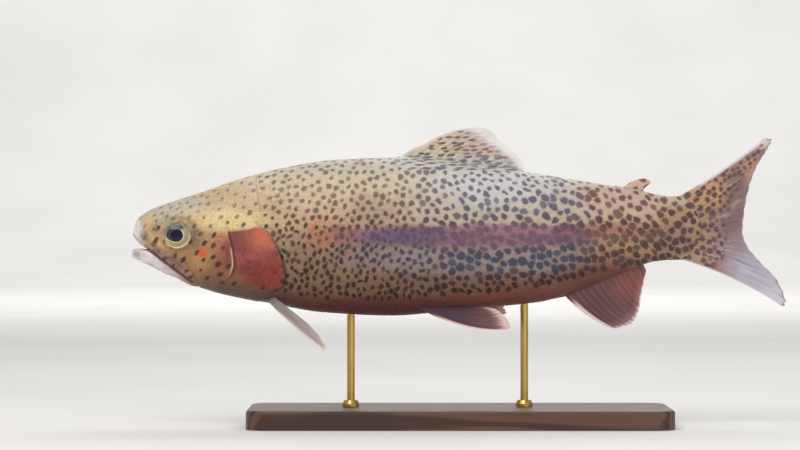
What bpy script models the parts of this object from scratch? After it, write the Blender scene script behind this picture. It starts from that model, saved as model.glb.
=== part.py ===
"""Rainbow trout, life size, held level in a swimming pose on a plain two-rod display stand.

The fish lies along X with its snout at -X and its left flank at -Y. The body is one loft through
oval sections, parted into named pieces by thin cuts; each fin is a ruled sheet between its root
and its margin. Everything is modelled straight, then swung sideways along one gentle body curve.
All tables are in millimetres, measured from the upper lip (s, towards the tail) and from the
body's long axis (z, upwards).
"""

import math

import bmesh
import bpy
from mathutils import Matrix, Vector

MM = 0.001

# Driving dimensions, in millimetres
TOTAL_LENGTH = 420.0  # chin to the tip of the lower tail lobe
CHIN = -1.6  # the lower jaw reaches this far ahead of the upper lip
AXIS_HEIGHT = 122.0  # body axis above the surface that the base stands on
CUT = 0.4  # width of the thin cuts between pieces
CLEAR = 0.35  # gap between the body and what is set against it
TAIL_SWING = 15.0  # how far the tail's end swings away to the fish's right
SWING_START = 150.0  # where along the body the swing begins
HEAD_TURN = 2.5  # how far the snout turns to the fish's right

# Body outline: (s, value) pairs, joined by smooth curves
BACK = [
    (-1.6, -11.0), (-0.4, 0.0), (1.2, 8.5), (5, 12.8), (16, 18.8), (42, 27.6), (93, 42.7),
    (132, 48.6), (172, 49.8), (222, 44.6), (272, 37.4), (323, 28.9), (343, 25.3), (354, 25.0),
    (361, 16.0), (364.5, 6.0),
]
BELLY = [
    (-1.6, -12.0), (-0.6, -14.2), (4, -16.9), (36, -31.8), (58, -38.2), (93, -44.9), (120, -49.6),
    (165, -51.8), (208, -48.0), (262, -42.8), (291, -32.6), (328, -18.3), (343, -16.4),
    (354, -16.2), (361, -7.0), (364.5, 3.0),
]
HALF_WIDTH = [
    (-1.6, 0.8), (-0.4, 5.5), (1.5, 8.8), (10, 13.2), (28, 17.4), (62, 23.0), (92, 24.8),
    (112, 24.4), (160, 26.2), (200, 25.4), (250, 20.6), (310, 12.0), (340, 7.8), (354, 4.2),
    (364.5, 1.6),
]
WIDEST_LEVEL = [(-1.6, -11.5), (1, -3.0), (28, -4.0), (62, 0.0), (172, 3.0), (343, 4.4), (364.5, 4.5)]
ROOF_POWER = 2.0  # 2 is an ellipse, more is squarer
KEEL_POWER = 2.15

RING_SIDES = 28
SNOUT_RINGS = 9
BODY_RINGS = 34
SNOUT_END = 28.0
BODY_END = 364.5

# Rear edge of the gill cover, and on up to the nape and down to the throat: (z, s) pairs
GILL_EDGE = [
    (60, 70.0), (20, 75.0), (6.5, 79.0), (1, 86.5), (-7, 91.8), (-18, 95.6), (-27, 96.0),
    (-32, 93.5), (-35.5, 87.0), (-41, 80.0), (-60, 68.0),
]
# Front edge of the gill cover, behind the cheek
CHEEK_EDGE = [(6.5, 59.0), (1, 60.5), (-10, 63.0), (-18, 63.8), (-26, 61.5), (-33, 56.0)]
GILL_TOP = 6.5
GILL_THICKNESS = 6.0
DORSAL_CUT = 178.0  # front and rear trunk part here
VENT_CUT = 268.0  # trunk and tail stem part here

# Mouth: the open gap at the lips, and the line behind it that parts the jaws
GAPE_ROOF = [(-6, 2.5), (-1.5, 0.8), (1.3, -2.2), (4, -5.2), (10.5, -9.4)]
GAPE_FLOOR = [(10.5, -9.6), (5, -8.9), (0, -8.3), (-6, -7.8)]
JAW_CORNER = (37.0, -30.5)
JAW_HEEL = (44.0, -44.0)
# Upper jaw bone, a plate from the snout down to the jaw's corner
PLATE_UPPER = [(7.5, -4.0), (15, -7.5), (26, -13.5), (34, -20.0), (39, -26.5)]
PLATE_LOWER = [(38.2, -30.0), (30, -24.0), (20, -16.6), (11.5, -9.9), (8, -7.5)]
PLATE_THICKNESS = 2.2

# Eye: a turned shape, flattened in front; (radius, depth in from the rim)
EYE_CENTRE = (27.7, 0.0)
EYE_RIM = 16.9  # the rim's distance from the mid-plane
EYE_PROFILE = [
    (0, 2.1), (3.0, 1.85), (5.6, 1.15), (7.4, 0.3), (8.3, -0.7), (8.3, -2.6), (6.6, -5.0),
    (3.6, -6.6), (0, -7.2),
]
EYE_STEPS = 24
SOCKET_DEPTH = 8.0

# Fins: root and margin curves as (s, y, z) points, front ray first; bow lifts the rays' middles
FINS = {
    "dorsal_fin": {
        "root": [(167, 0, 47.4), (202, 0, 44.6), (237, 0, 39.8)],
        "margin": [(213, 0, 68.6), (227, 0.6, 66.6), (236, 1.0, 59.8), (244, 0.8, 51.6), (251, 0.3, 42.4)],
        "bow": (0, 0.5, 4.4), "rays": 13, "along": 6, "thickness": 1.0,
    },
    "adipose_fin": {
        "root": [(311, 0, 28.5), (317, 0, 27.4), (322.5, 0, 26.4)],
        "margin": [(324, 0, 36.4), (328.6, 0, 35.6), (330.4, 0, 33.6), (327.6, 0, 31.4)],
        "bow": (0, 0, 1.0), "rays": 7, "along": 5, "thickness": 1.8,
    },
    "anal_fin": {
        "root": [(274, 0, -37.6), (300, 0, -26.4), (325, 0, -16.6)],
        "margin": [(308.5, 0, -58.6), (317, -0.5, -56.6), (321, -0.8, -47), (324, -0.5, -34), (328.5, 0, -23.5)],
        "bow": (-1.0, 0, -2.4), "rays": 12, "along": 6, "thickness": 1.0,
    },
    "caudal_fin": {
        "root": [(350, 0, 21), (358, 0, 13), (360.5, 0, 4.5), (358, 0, -4), (350, 0, -12.5)],
        "margin": [
            (407, -1.5, 62.1), (402.5, 0, 52), (394.8, 1.2, 37), (390.5, 1.5, 20), (389.5, 1.5, 6),
            (393, 1.5, -5), (402.5, 1.2, -18), (413.2, 0, -29), (418.4, -1.6, -41.5),
            (417.2, -2.0, -46.6),
        ],
        "bow": (0, 0, 0), "rays": 28, "along": 7, "thickness": 1.1,
        "upper_bow": -1.2, "lower_bow": 3.6,  # the outer rays' middles stand in by this much
    },
}
PAIRED_FINS = {
    "pectoral_fin": {
        "root": [(84, 17.5, -39.5), (88, 18.0, -38.5), (92, 18.5, -37)],
        "margin": [(122.5, 40, -72), (125.5, 34.5, -68.5), (124, 28, -64), (118, 22.5, -58.5)],
        "bow": (0, 1.0, 1.8), "rays": 10, "along": 6, "thickness": 1.0,
    },
    "pelvic_fin": {
        "root": [(190, 11.5, -45.5), (195, 9.5, -46), (200.5, 7, -46.5)],
        "margin": [(236.5, 25, -59), (238, 20.5, -56.5), (233, 15, -51.5), (225, 11.5, -47)],
        "bow": (0, 0.6, -1.0), "rays": 9, "along": 6, "thickness": 1.0,
    },
}
# The right pectoral and pelvic are held higher and wider than the left ones
RIGHT_LIFT = {"pectoral_fin": 24.0, "pelvic_fin": 8.0}

# Stand
BASE_LENGTH = 270.0
BASE_DEPTH = 104.0
BASE_THICKNESS = 12.0
BASE_CORNER = 14.0
BASE_EDGE = 1.8
ROD_RADIUS = 2.5
ROD_STATIONS = {"stand_rod_front": 139.0, "stand_rod_rear": 250.0}
COLLAR_RADIUS = 5.5
COLLAR_HEIGHT = 4.0

COLOURS = {  # base colour, roughness, metallic
    "flesh": ((0.45, 0.36, 0.20), 0.35, 0.0),
    "jaw": ((0.70, 0.62, 0.55), 0.35, 0.0),
    "gill": ((0.46, 0.10, 0.07), 0.35, 0.0),
    "fin": ((0.26, 0.09, 0.08), 0.40, 0.0),
    "pale_fin": ((0.48, 0.40, 0.34), 0.40, 0.0),
    "eye": ((0.30, 0.27, 0.16), 0.10, 0.0),
    "wood": ((0.10, 0.05, 0.03), 0.40, 0.0),
    "brass": ((0.70, 0.50, 0.22), 0.30, 1.0),
}


def curve_through(points):
    """A smooth function through (position, value) pairs that never overshoots them."""
    xs = [p[0] for p in points]
    ys = [p[1] for p in points]
    steps = [(ys[i + 1] - ys[i]) / (xs[i + 1] - xs[i]) for i in range(len(xs) - 1)]
    slopes = [steps[0]]
    for before, after in zip(steps, steps[1:]):
        same_way = before * after > 0
        slopes.append(2 * before * after / (before + after) if same_way else 0.0)
    slopes.append(steps[-1])

    def value(x):
        x = min(max(x, xs[0]), xs[-1])
        i = max(k for k in range(len(xs) - 1) if xs[k] <= x)
        width = xs[i + 1] - xs[i]
        t = (x - xs[i]) / width
        return (
            ys[i] * (1 + 2 * t) * (1 - t) ** 2
            + ys[i + 1] * t * t * (3 - 2 * t)
            + slopes[i] * width * t * (1 - t) ** 2
            - slopes[i + 1] * width * t * t * (1 - t)
        )

    return value


def point_on(points, share):
    """A point on the Catmull-Rom curve through points, share 0 at the first and 1 at the last."""
    place = min(max(share, 0.0), 1.0) * (len(points) - 1)
    i = min(int(place), len(points) - 2)
    t = place - i
    p1, p2 = Vector(points[i]), Vector(points[i + 1])
    p0 = Vector(points[i - 1]) if i > 0 else 2 * p1 - p2
    p3 = Vector(points[i + 2]) if i + 2 < len(points) else 2 * p2 - p1
    return 0.5 * (
        2 * p1 + (p2 - p0) * t + (2 * p0 - 5 * p1 + 4 * p2 - p3) * t * t
        + (3 * p1 - p0 - 3 * p2 + p3) * t ** 3
    )


back = curve_through(BACK)
belly = curve_through(BELLY)
half_width = curve_through(HALF_WIDTH)
widest_level = curve_through(WIDEST_LEVEL)


def new_object(name, mesh, collection):
    obj = bpy.data.objects.new(name, mesh)
    collection.objects.link(obj)
    return obj


def mesh_from(bm, name):
    """The bmesh as a mesh with its faces turned outwards."""
    bmesh.ops.recalc_face_normals(bm, faces=bm.faces[:])
    mesh = bpy.data.meshes.new(name)
    bm.to_mesh(mesh)
    bm.free()
    return mesh


def section(s, grow):
    """One oval ring of the body at s, top first, as points in millimetres."""
    top, low, wide = back(s) + grow, belly(s) - grow, half_width(s) + grow
    level = min(max(widest_level(s), low + 0.3), top - 0.3)
    ring = []
    for side in range(RING_SIDES):
        angle = 2 * math.pi * side / RING_SIDES
        across, up = math.sin(angle), math.cos(angle)
        power = 2 / (ROOF_POWER if up > 0 else KEEL_POWER)
        reach = top - level if up > 0 else level - low
        y = wide * math.copysign(abs(across) ** power, across)
        z = level + reach * math.copysign(abs(up) ** power, up)
        ring.append(Vector((s, y, z)))
    return ring


def body_stations():
    """Where the rings stand: close together at the blunt snout, evenly spaced behind."""
    for i in range(SNOUT_RINGS):
        yield CHIN + (SNOUT_END - CHIN) * (i / SNOUT_RINGS) ** 2.2
    for i in range(BODY_RINGS + 1):
        share = i / BODY_RINGS
        yield SNOUT_END + (BODY_END - SNOUT_END) * (share + 0.035 * math.sin(math.pi * share))


def body_mesh(name, grow=0.0):
    """The whole fish without fins, from chin to tail root, as one closed loft."""
    bm = bmesh.new()
    rings = []
    for s in body_stations():
        rings.append([bm.verts.new(p * MM) for p in section(s, grow)])
    for one, two in zip(rings, rings[1:]):
        for i in range(RING_SIDES):
            j = (i + 1) % RING_SIDES
            bm.faces.new((one[i], one[j], two[j], two[i]))
    bm.faces.new(rings[0])
    bm.faces.new(rings[-1])
    return mesh_from(bm, name)


def prism(name, outline, cutters, near=-80.0, far=80.0):
    """A cutter: an outline in side view, filled and extruded across the body from near to far.

    near and far are millimetres, or functions of s and z where a side follows the flank.
    """
    bm = bmesh.new()
    face = bm.faces.new([bm.verts.new((s * MM, 0, z * MM)) for s, z in outline])
    made = bmesh.ops.extrude_face_region(bm, geom=[face])
    moved = {v for v in made["geom"] if isinstance(v, bmesh.types.BMVert)}
    for vert in bm.verts:
        side = far if vert in moved else near
        vert.co.y = (side(vert.co.x / MM, vert.co.z / MM) if callable(side) else side) * MM
    bmesh.ops.triangulate(bm, faces=[f for f in bm.faces if len(f.verts) > 4])
    obj = new_object(name, mesh_from(bm, name), cutters)
    obj.hide_render = True
    obj.display_type = "WIRE"
    return obj


def boolean(obj, operation, other):
    modifier = obj.modifiers.new(f"{operation.lower()} {other.name}", "BOOLEAN")
    modifier.operation = operation
    modifier.object = other
    return obj


def edge_line(edge, shift, low, high, steps=12):
    """Points down an edge given as (z, s) pairs, from high to low, moved back by shift."""
    at = curve_through(sorted(edge))
    return [
        (at(high + (low - high) * i / steps) + shift, high + (low - high) * i / steps)
        for i in range(steps + 1)
    ]


def straight_edge(s):
    return [(-90, s), (90, s)]


def slab(name, front, rear, cutters):
    """The stretch of the body between two edges, less half a cut at each."""
    ahead = edge_line(front, CUT / 2, -60, 60, 24)
    behind = edge_line(rear, -CUT / 2, -60, 60, 24)
    return prism(name, ahead + behind[::-1], cutters)


def grown(outline, grow):
    """A closed outline with every side moved outwards by grow."""
    points = [Vector(p) for p in outline]
    area = sum(a.cross(b) for a, b in zip(points, points[1:] + points[:1]))
    out = 1 if area > 0 else -1
    moved = []
    for before, here, after in zip(points[-1:] + points[:-1], points, points[1:] + points[:1]):
        one, two = (here - before).normalized(), (after - here).normalized()
        normal = Vector((one.y + two.y, -one.x - two.x)).normalized() * out
        square = Vector((one.y, -one.x)) * out
        moved.append(here + normal * grow / max(normal.dot(square), 0.5))
    return [tuple(p) for p in moved]


def gill_outline():
    """The gill cover in side view; its rear is the head's own edge."""
    low = CHEEK_EDGE[-1][0]
    return edge_line(CHEEK_EDGE, 0, low, GILL_TOP, 8) + [(110, low), (110, GILL_TOP)]


def plate_outline():
    return PLATE_UPPER + PLATE_LOWER


def jaw_outline():
    """Below the mouth line, back to the heel of the jaw."""
    return GAPE_FLOOR[::-1] + PLATE_LOWER[::-1][1:-1] + [JAW_CORNER, JAW_HEEL, (-8, -46.0)]


def flank(s, z):
    """The body's half width at s and height z."""
    level = widest_level(s)
    if z > level:
        share, power = (z - level) / (back(s) - level), ROOF_POWER
    else:
        share, power = (level - z) / (level - belly(s)), KEEL_POWER
    return half_width(s) * (1 - min(share, 1.0) ** power) ** (1 / power)


def follow_flank(side, depth):
    """The surface of the flank less depth, as a function of s and z, on side -1 (left) or 1."""
    return lambda s, z: side * (flank(s, z) - depth)


def eye_mesh(name, side):
    """The eyeball, turned about its own axis and set in the side of the head."""
    bm = bmesh.new()
    verts = [bm.verts.new((r * MM, 0, depth * MM)) for r, depth in EYE_PROFILE]
    edges = [bm.edges.new(pair) for pair in zip(verts, verts[1:])]
    bmesh.ops.spin(
        bm, geom=verts + edges, axis=(0, 0, 1), cent=(0, 0, 0), steps=EYE_STEPS, angle=2 * math.pi
    )
    bmesh.ops.remove_doubles(bm, verts=bm.verts[:], dist=0.00001)
    turn = Matrix.Rotation(-side * math.pi / 2, 4, "X")
    place = Vector((EYE_CENTRE[0], side * EYE_RIM, EYE_CENTRE[1])) * MM
    bmesh.ops.transform(bm, matrix=Matrix.Translation(place) @ turn, verts=bm.verts[:])
    return mesh_from(bm, name)


def socket(name, side, cutters):
    """The hole that an eye sits in."""
    bm = bmesh.new()
    radius = (max(r for r, depth in EYE_PROFILE) + CLEAR) * MM
    length = 40 * MM
    bmesh.ops.create_cone(
        bm, cap_ends=True, segments=EYE_STEPS, radius1=radius, radius2=radius, depth=length
    )
    reach = side * ((EYE_RIM - SOCKET_DEPTH) * MM + length / 2)
    place = Matrix.Translation((EYE_CENTRE[0] * MM, reach, EYE_CENTRE[1] * MM))
    bmesh.ops.transform(
        bm, matrix=place @ Matrix.Rotation(math.pi / 2, 4, "X"), verts=bm.verts[:]
    )
    obj = new_object(name, mesh_from(bm, name), cutters)
    obj.hide_render = True
    return obj


def fin_point(fin, across, along):
    """A point of a fin's sheet: across counts from the front ray to the last, along outwards."""
    root, tip = point_on(fin["root"], across), point_on(fin["margin"], across)
    lift = 4 * along * (1 - along)
    point = root.lerp(tip, along) + Vector(fin["bow"]) * lift * (1 - across) ** 0.5
    point.z += fin.get("upper_bow", 0.0) * lift * max(0.0, 1 - 2 * across) ** 3
    point.z += fin.get("lower_bow", 0.0) * lift * max(0.0, 2 * across - 1) ** 3
    return point


def fin_object(name, fin, side, collection, trim, lift=0.0):
    """A fin as a thin sheet given thickness, and trimmed where it meets the body."""
    bm = bmesh.new()
    grid = []
    for i in range(fin["rays"]):
        ray = []
        for j in range(fin["along"] + 1):
            point = fin_point(fin, i / (fin["rays"] - 1), j / fin["along"])
            point.y *= side
            point.z += lift * (j / fin["along"]) ** 1.2
            point.y += side * 0.35 * lift * j / fin["along"]
            ray.append(bm.verts.new(point * MM))
        grid.append(ray)
    for one, two in zip(grid, grid[1:]):
        for j in range(fin["along"]):
            bm.faces.new((one[j], one[j + 1], two[j + 1], two[j]))
    obj = new_object(name, mesh_from(bm, name), collection)
    sheet = obj.modifiers.new("thickness", "SOLIDIFY")
    sheet.thickness = fin["thickness"] * MM
    sheet.offset = 0.0
    return boolean(obj, "DIFFERENCE", trim)


def swing(point):
    """Moves a point of the straight fish to its place on the gently curved one."""
    s = point.x / MM
    behind = max(0.0, s - SWING_START) / (TOTAL_LENGTH - SWING_START)
    ahead = max(0.0, SWING_START - s) / SWING_START
    aside = TAIL_SWING * behind ** 2 + HEAD_TURN * ahead ** 2
    slope = (
        2 * TAIL_SWING * behind / (TOTAL_LENGTH - SWING_START)
        - 2 * HEAD_TURN * ahead / SWING_START
    )
    turn = math.atan(slope)
    return Vector((
        point.x - point.y * math.sin(turn),
        aside * MM + point.y * math.cos(turn),
        point.z,
    ))


def finish_fish(obj):
    """Bakes an object's modifiers, swings it with the body and sets it over the base's middle."""
    graph = bpy.context.evaluated_depsgraph_get()
    mesh = bpy.data.meshes.new_from_object(obj.evaluated_get(graph))
    obj.modifiers.clear()
    obj.data = mesh
    middle = (CHIN + TOTAL_LENGTH / 2) * MM
    for vert in mesh.vertices:
        vert.co = swing(vert.co) + Vector((-middle, 0, AXIS_HEIGHT * MM))
    mesh.shade_smooth()
    mesh.set_sharp_from_angle(angle=math.radians(35))


def paint(obj, colour):
    """One material per colour name, shared by the pieces that have it."""
    material = bpy.data.materials.get(colour)
    if material is None:
        base, roughness, metallic = COLOURS[colour]
        material = bpy.data.materials.new(colour)
        material.use_nodes = True
        shader = material.node_tree.nodes["Principled BSDF"]
        shader.inputs["Base Color"].default_value = (*base, 1)
        shader.inputs["Roughness"].default_value = roughness
        shader.inputs["Metallic"].default_value = metallic
    obj.data.materials.clear()
    obj.data.materials.append(material)


def build_body(parts, cutters):
    """Head, jaws, gill covers, trunk and tail stem, parted from one loft."""
    pieces = {}
    stretches = {
        "head": (straight_edge(-20), GILL_EDGE),
        "trunk_front": (GILL_EDGE, straight_edge(DORSAL_CUT)),
        "trunk_rear": (straight_edge(DORSAL_CUT), straight_edge(VENT_CUT)),
        "tail_stem": (straight_edge(VENT_CUT), straight_edge(BODY_END + 20)),
    }
    for name, (front, rear) in stretches.items():
        obj = new_object(name, body_mesh(name), parts)
        pieces[name] = boolean(obj, "INTERSECT", slab(f"{name}_stretch", front, rear, cutters))
    head = pieces["head"]

    gape = prism("gape", GAPE_ROOF + GAPE_FLOOR, cutters)
    jaw = new_object("lower_jaw", body_mesh("lower_jaw"), parts)
    boolean(jaw, "INTERSECT", prism("jaw_space", jaw_outline(), cutters))
    boolean(head, "DIFFERENCE", prism("jaw_clearance", grown(jaw_outline(), CUT), cutters))
    boolean(head, "DIFFERENCE", gape)
    pieces["lower_jaw"] = jaw

    for side, hand in ((-1, "left"), (1, "right")):
        out = side * 80.0
        cover = new_object(f"gill_cover_{hand}", body_mesh(f"gill_cover_{hand}"), parts)
        space = prism(
            f"gill_space_{hand}", gill_outline(), cutters, follow_flank(side, GILL_THICKNESS), out
        )
        boolean(cover, "INTERSECT", space)
        pieces[cover.name] = boolean(cover, "INTERSECT", cutters.objects["head_stretch"])
        boolean(head, "DIFFERENCE", prism(
            f"gill_pocket_{hand}", grown(gill_outline(), CUT), cutters,
            follow_flank(side, GILL_THICKNESS + CUT), out,
        ))
        plate = new_object(f"upper_jaw_plate_{hand}", body_mesh(f"upper_jaw_plate_{hand}"), parts)
        space = prism(
            f"plate_space_{hand}", plate_outline(), cutters,
            follow_flank(side, PLATE_THICKNESS), out,
        )
        pieces[plate.name] = boolean(plate, "INTERSECT", space)
        pocket = prism(
            f"plate_pocket_{hand}", grown(plate_outline(), CUT), cutters,
            follow_flank(side, PLATE_THICKNESS + CUT), out,
        )
        boolean(head, "DIFFERENCE", pocket)
        boolean(jaw, "DIFFERENCE", pocket)
        boolean(head, "DIFFERENCE", socket(f"socket_{hand}", side, cutters))
        pieces[f"eye_{hand}"] = new_object(f"eye_{hand}", eye_mesh(f"eye_{hand}", side), parts)
    return pieces


def build_fins(parts, trim):
    """The four fins on the mid-line, then the two pairs."""
    pieces = {name: fin_object(name, fin, 1, parts, trim) for name, fin in FINS.items()}
    for name, fin in PAIRED_FINS.items():
        for side, hand in ((-1, "left"), (1, "right")):
            lift = RIGHT_LIFT[name] if side > 0 else 0.0
            full = f"{name}_{hand}"
            pieces[full] = fin_object(full, fin, side, parts, trim, lift)
    return pieces


def build_base(parts):
    """A flat board with rounded corners and an eased top edge."""
    bm = bmesh.new()
    bmesh.ops.create_cube(bm, size=1.0)
    size = Vector((BASE_LENGTH, BASE_DEPTH, BASE_THICKNESS)) * MM
    bmesh.ops.scale(bm, vec=size, verts=bm.verts[:])
    bmesh.ops.translate(bm, vec=(0, 0, size.z / 2), verts=bm.verts[:])
    upright = [e for e in bm.edges if abs(e.verts[0].co.z - e.verts[1].co.z) > size.z / 2]
    bmesh.ops.bevel(
        bm, geom=upright, offset=BASE_CORNER * MM, segments=6, profile=0.5, affect="EDGES"
    )
    upper = [e for e in bm.edges if min(v.co.z for v in e.verts) > size.z - 1e-6]
    bmesh.ops.bevel(bm, geom=upper, offset=BASE_EDGE * MM, segments=3, profile=0.5, affect="EDGES")
    base = new_object("stand_base", mesh_from(bm, "stand_base"), parts)
    base.data.shade_smooth()
    base.data.set_sharp_from_angle(angle=math.radians(35))
    return base


def rod_place(station):
    """Where a rod stands under the curved belly, in metres."""
    place = swing(Vector((station * MM, 0, 0)))
    return place.x - (CHIN + TOTAL_LENGTH / 2) * MM, place.y


def build_rod(name, station, parts, trim):
    """A rod from the base up to the belly, its top shaped to the body above it."""
    x, y = rod_place(station)
    foot = (BASE_THICKNESS + CLEAR) * MM
    top = (AXIS_HEIGHT + belly(station) + 6) * MM
    bm = bmesh.new()
    bmesh.ops.create_cone(
        bm, cap_ends=True, segments=20, radius1=ROD_RADIUS * MM, radius2=ROD_RADIUS * MM,
        depth=top - foot,
    )
    bmesh.ops.translate(bm, vec=(x, y, (foot + top) / 2), verts=bm.verts[:])
    rod = boolean(new_object(name, mesh_from(bm, name), parts), "DIFFERENCE", trim)
    rod.data.shade_smooth()
    rod.data.set_sharp_from_angle(angle=math.radians(35))
    return rod


def build_collar(name, station, parts):
    """A turned ring round the foot of a rod, resting on the base."""
    x, y = rod_place(station)
    inner, outer = ROD_RADIUS + CLEAR, COLLAR_RADIUS
    low = BASE_THICKNESS + CLEAR
    profile = [
        (inner, low), (outer, low), (outer, low + COLLAR_HEIGHT * 0.45),
        (outer - 1.2, low + COLLAR_HEIGHT), (inner, low + COLLAR_HEIGHT),
    ]
    bm = bmesh.new()
    verts = [bm.verts.new((r * MM, 0, z * MM)) for r, z in profile]
    edges = [bm.edges.new((verts[i], verts[(i + 1) % len(verts)])) for i in range(len(verts))]
    bmesh.ops.spin(
        bm, geom=verts + edges, axis=(0, 0, 1), cent=(0, 0, 0), steps=20, angle=2 * math.pi
    )
    bmesh.ops.remove_doubles(bm, verts=bm.verts[:], dist=0.00001)
    bmesh.ops.translate(bm, vec=(x, y, 0), verts=bm.verts[:])
    return new_object(name, mesh_from(bm, name), parts)


def main():
    for obj in list(bpy.data.objects):
        bpy.data.objects.remove(obj)
    parts = bpy.data.collections.new("rainbow_trout")
    cutters = bpy.data.collections.new("cutters")
    for collection in (parts, cutters):
        bpy.context.scene.collection.children.link(collection)

    trim = new_object("trim", body_mesh("trim", grow=CLEAR), cutters)
    trim.hide_render = True
    fish = {**build_body(parts, cutters), **build_fins(parts, trim)}
    bpy.context.view_layer.update()
    for obj in fish.values():
        finish_fish(obj)

    bent_trim = new_object("bent_trim", body_mesh("bent_trim", grow=CLEAR), cutters)
    bent_trim.hide_render = True
    finish_fish(bent_trim)
    stand = [build_base(parts)]
    for name, station in ROD_STATIONS.items():
        stand.append(build_rod(name, station, parts, bent_trim))
        stand.append(build_collar(name.replace("rod", "collar"), station, parts))

    for name, obj in fish.items():
        if name.startswith("eye"):
            paint(obj, "eye")
        elif "jaw" in name:
            paint(obj, "jaw")
        elif "gill" in name:
            paint(obj, "gill")
        elif name.startswith(("dorsal", "pectoral", "caudal")):
            paint(obj, "pale_fin")
        elif name.startswith(("anal", "pelvic")):
            paint(obj, "fin")
        else:
            paint(obj, "flesh")
    for obj in stand:
        paint(obj, "wood" if obj.name == "stand_base" else "brass")


main()
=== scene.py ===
import math

import bmesh
import bpy
import numpy as np
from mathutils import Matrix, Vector


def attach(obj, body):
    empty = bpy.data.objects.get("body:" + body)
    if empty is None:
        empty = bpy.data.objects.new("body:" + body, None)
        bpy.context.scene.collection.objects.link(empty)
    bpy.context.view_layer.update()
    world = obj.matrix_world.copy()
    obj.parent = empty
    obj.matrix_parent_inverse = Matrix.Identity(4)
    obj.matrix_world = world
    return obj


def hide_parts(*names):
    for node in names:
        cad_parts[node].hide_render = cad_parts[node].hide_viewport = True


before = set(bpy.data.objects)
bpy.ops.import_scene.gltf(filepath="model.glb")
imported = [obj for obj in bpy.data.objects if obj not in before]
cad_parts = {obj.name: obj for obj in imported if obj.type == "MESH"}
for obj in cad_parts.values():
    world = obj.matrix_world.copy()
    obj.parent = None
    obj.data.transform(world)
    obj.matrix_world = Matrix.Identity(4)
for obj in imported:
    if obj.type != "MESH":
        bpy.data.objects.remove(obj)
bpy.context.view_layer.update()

# Lengths below are millimetres: s runs from the upper lip towards the tail, z is the height over
# the body's long axis, y is the distance out to the fish's right. Blender's units are metres.
mm = 0.001
midShift = 208.4  # the s that stands over the middle of the base
axisHeight = 122.0  # of the body's axis over the ground
rng = np.random.default_rng(7)


def smoothCurve(points):
    # a curve through points that never overshoots them
    xs, ys = np.array(points, float).T
    step = np.diff(ys) / np.diff(xs)
    inner = [2 * a * b / (a + b) if a * b > 0 else 0.0 for a, b in zip(step, step[1:])]
    slope = np.array([step[0], *inner, step[-1]])

    def value(x):
        x = np.clip(x, xs[0], xs[-1])
        i = np.clip(np.searchsorted(xs, x, side="right") - 1, 0, len(xs) - 2)
        w = xs[i + 1] - xs[i]
        t = (x - xs[i]) / w
        return (ys[i] * (1 + 2 * t) * (1 - t) ** 2 + ys[i + 1] * t * t * (3 - 2 * t)
                + slope[i] * w * t * (1 - t) ** 2 - slope[i + 1] * w * t * t * (1 - t))
    return value


def splinePoint(points, share):
    # a point on the curve through points, share 0 at the first and 1 at the last
    pts = np.array(points, float)
    pts = np.vstack([2 * pts[0] - pts[1], pts, 2 * pts[-1] - pts[-2]])
    place = np.clip(share, 0, 1) * (len(pts) - 3)
    i = np.minimum(place.astype(int), len(pts) - 4)
    t = (place - i)[..., None]
    p0, p1, p2, p3 = pts[i], pts[i + 1], pts[i + 2], pts[i + 3]
    return 0.5 * (2 * p1 + (p2 - p0) * t + (2 * p0 - 5 * p1 + 4 * p2 - p3) * t * t
                  + (3 * p1 - p0 - 3 * p2 + p3) * t ** 3)


def dense(points, count=40):
    # the same line with more points
    return [tuple(p) for p in splinePoint(points, np.linspace(0, 1, count))]


def ramp(x, low, high):
    t = np.clip((x - low) / (high - low), 0, 1)
    return t * t * (3 - 2 * t)


def bell(x, width):
    return np.exp(-(x / width) ** 2)


def window(x, a, b, c, d):
    # rises from a to b and falls from c to d
    return ramp(x, a, b) * (1 - ramp(x, c, d))


def between(table, row, column):
    # a table's value at places between its rows and columns
    i = np.clip(row.astype(int), 0, table.shape[0] - 2)
    j = np.clip(column.astype(int), 0, table.shape[1] - 2)
    f, g = row - i, column - j
    if table.ndim > 2:
        f, g = f[..., None], g[..., None]
    near = table[i, j] * (1 - g) + table[i, j + 1] * g
    far = table[i + 1, j] * (1 - g) + table[i + 1, j + 1] * g
    return near * (1 - f) + far * f


def lineDistance(s, z, line):
    best = np.full(np.shape(s), 1e9)
    for (s0, z0), (s1, z1) in zip(line, line[1:]):
        ds, dz = s1 - s0, z1 - z0
        t = np.clip(((s - s0) * ds + (z - z0) * dz) / (ds * ds + dz * dz), 0, 1)
        best = np.minimum(best, np.hypot(s - s0 - t * ds, z - z0 - t * dz))
    return best


def outlineDepth(s, z, outline):
    # how far inside a closed outline, less than nothing outside it
    closed = outline + outline[:1]
    inside = np.zeros(np.shape(s), bool)
    for (s0, z0), (s1, z1) in zip(closed, closed[1:]):
        if z0 != z1:
            crosses = (z0 > z) != (z1 > z)
            inside ^= crosses & (s < (s1 - s0) * (z - z0) / (z1 - z0) + s0)
    away = lineDistance(s, z, closed)
    return np.where(inside, away, -away)


def rgb(hexText):
    # an sRGB hex text as linear red, green, blue and alpha
    parts = [int(hexText[i:i + 2], 16) / 255 for i in (1, 3, 5)]
    return [c / 12.92 if c <= 0.04045 else ((c + 0.055) / 1.055) ** 2.4 for c in parts] + [1.0]


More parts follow.
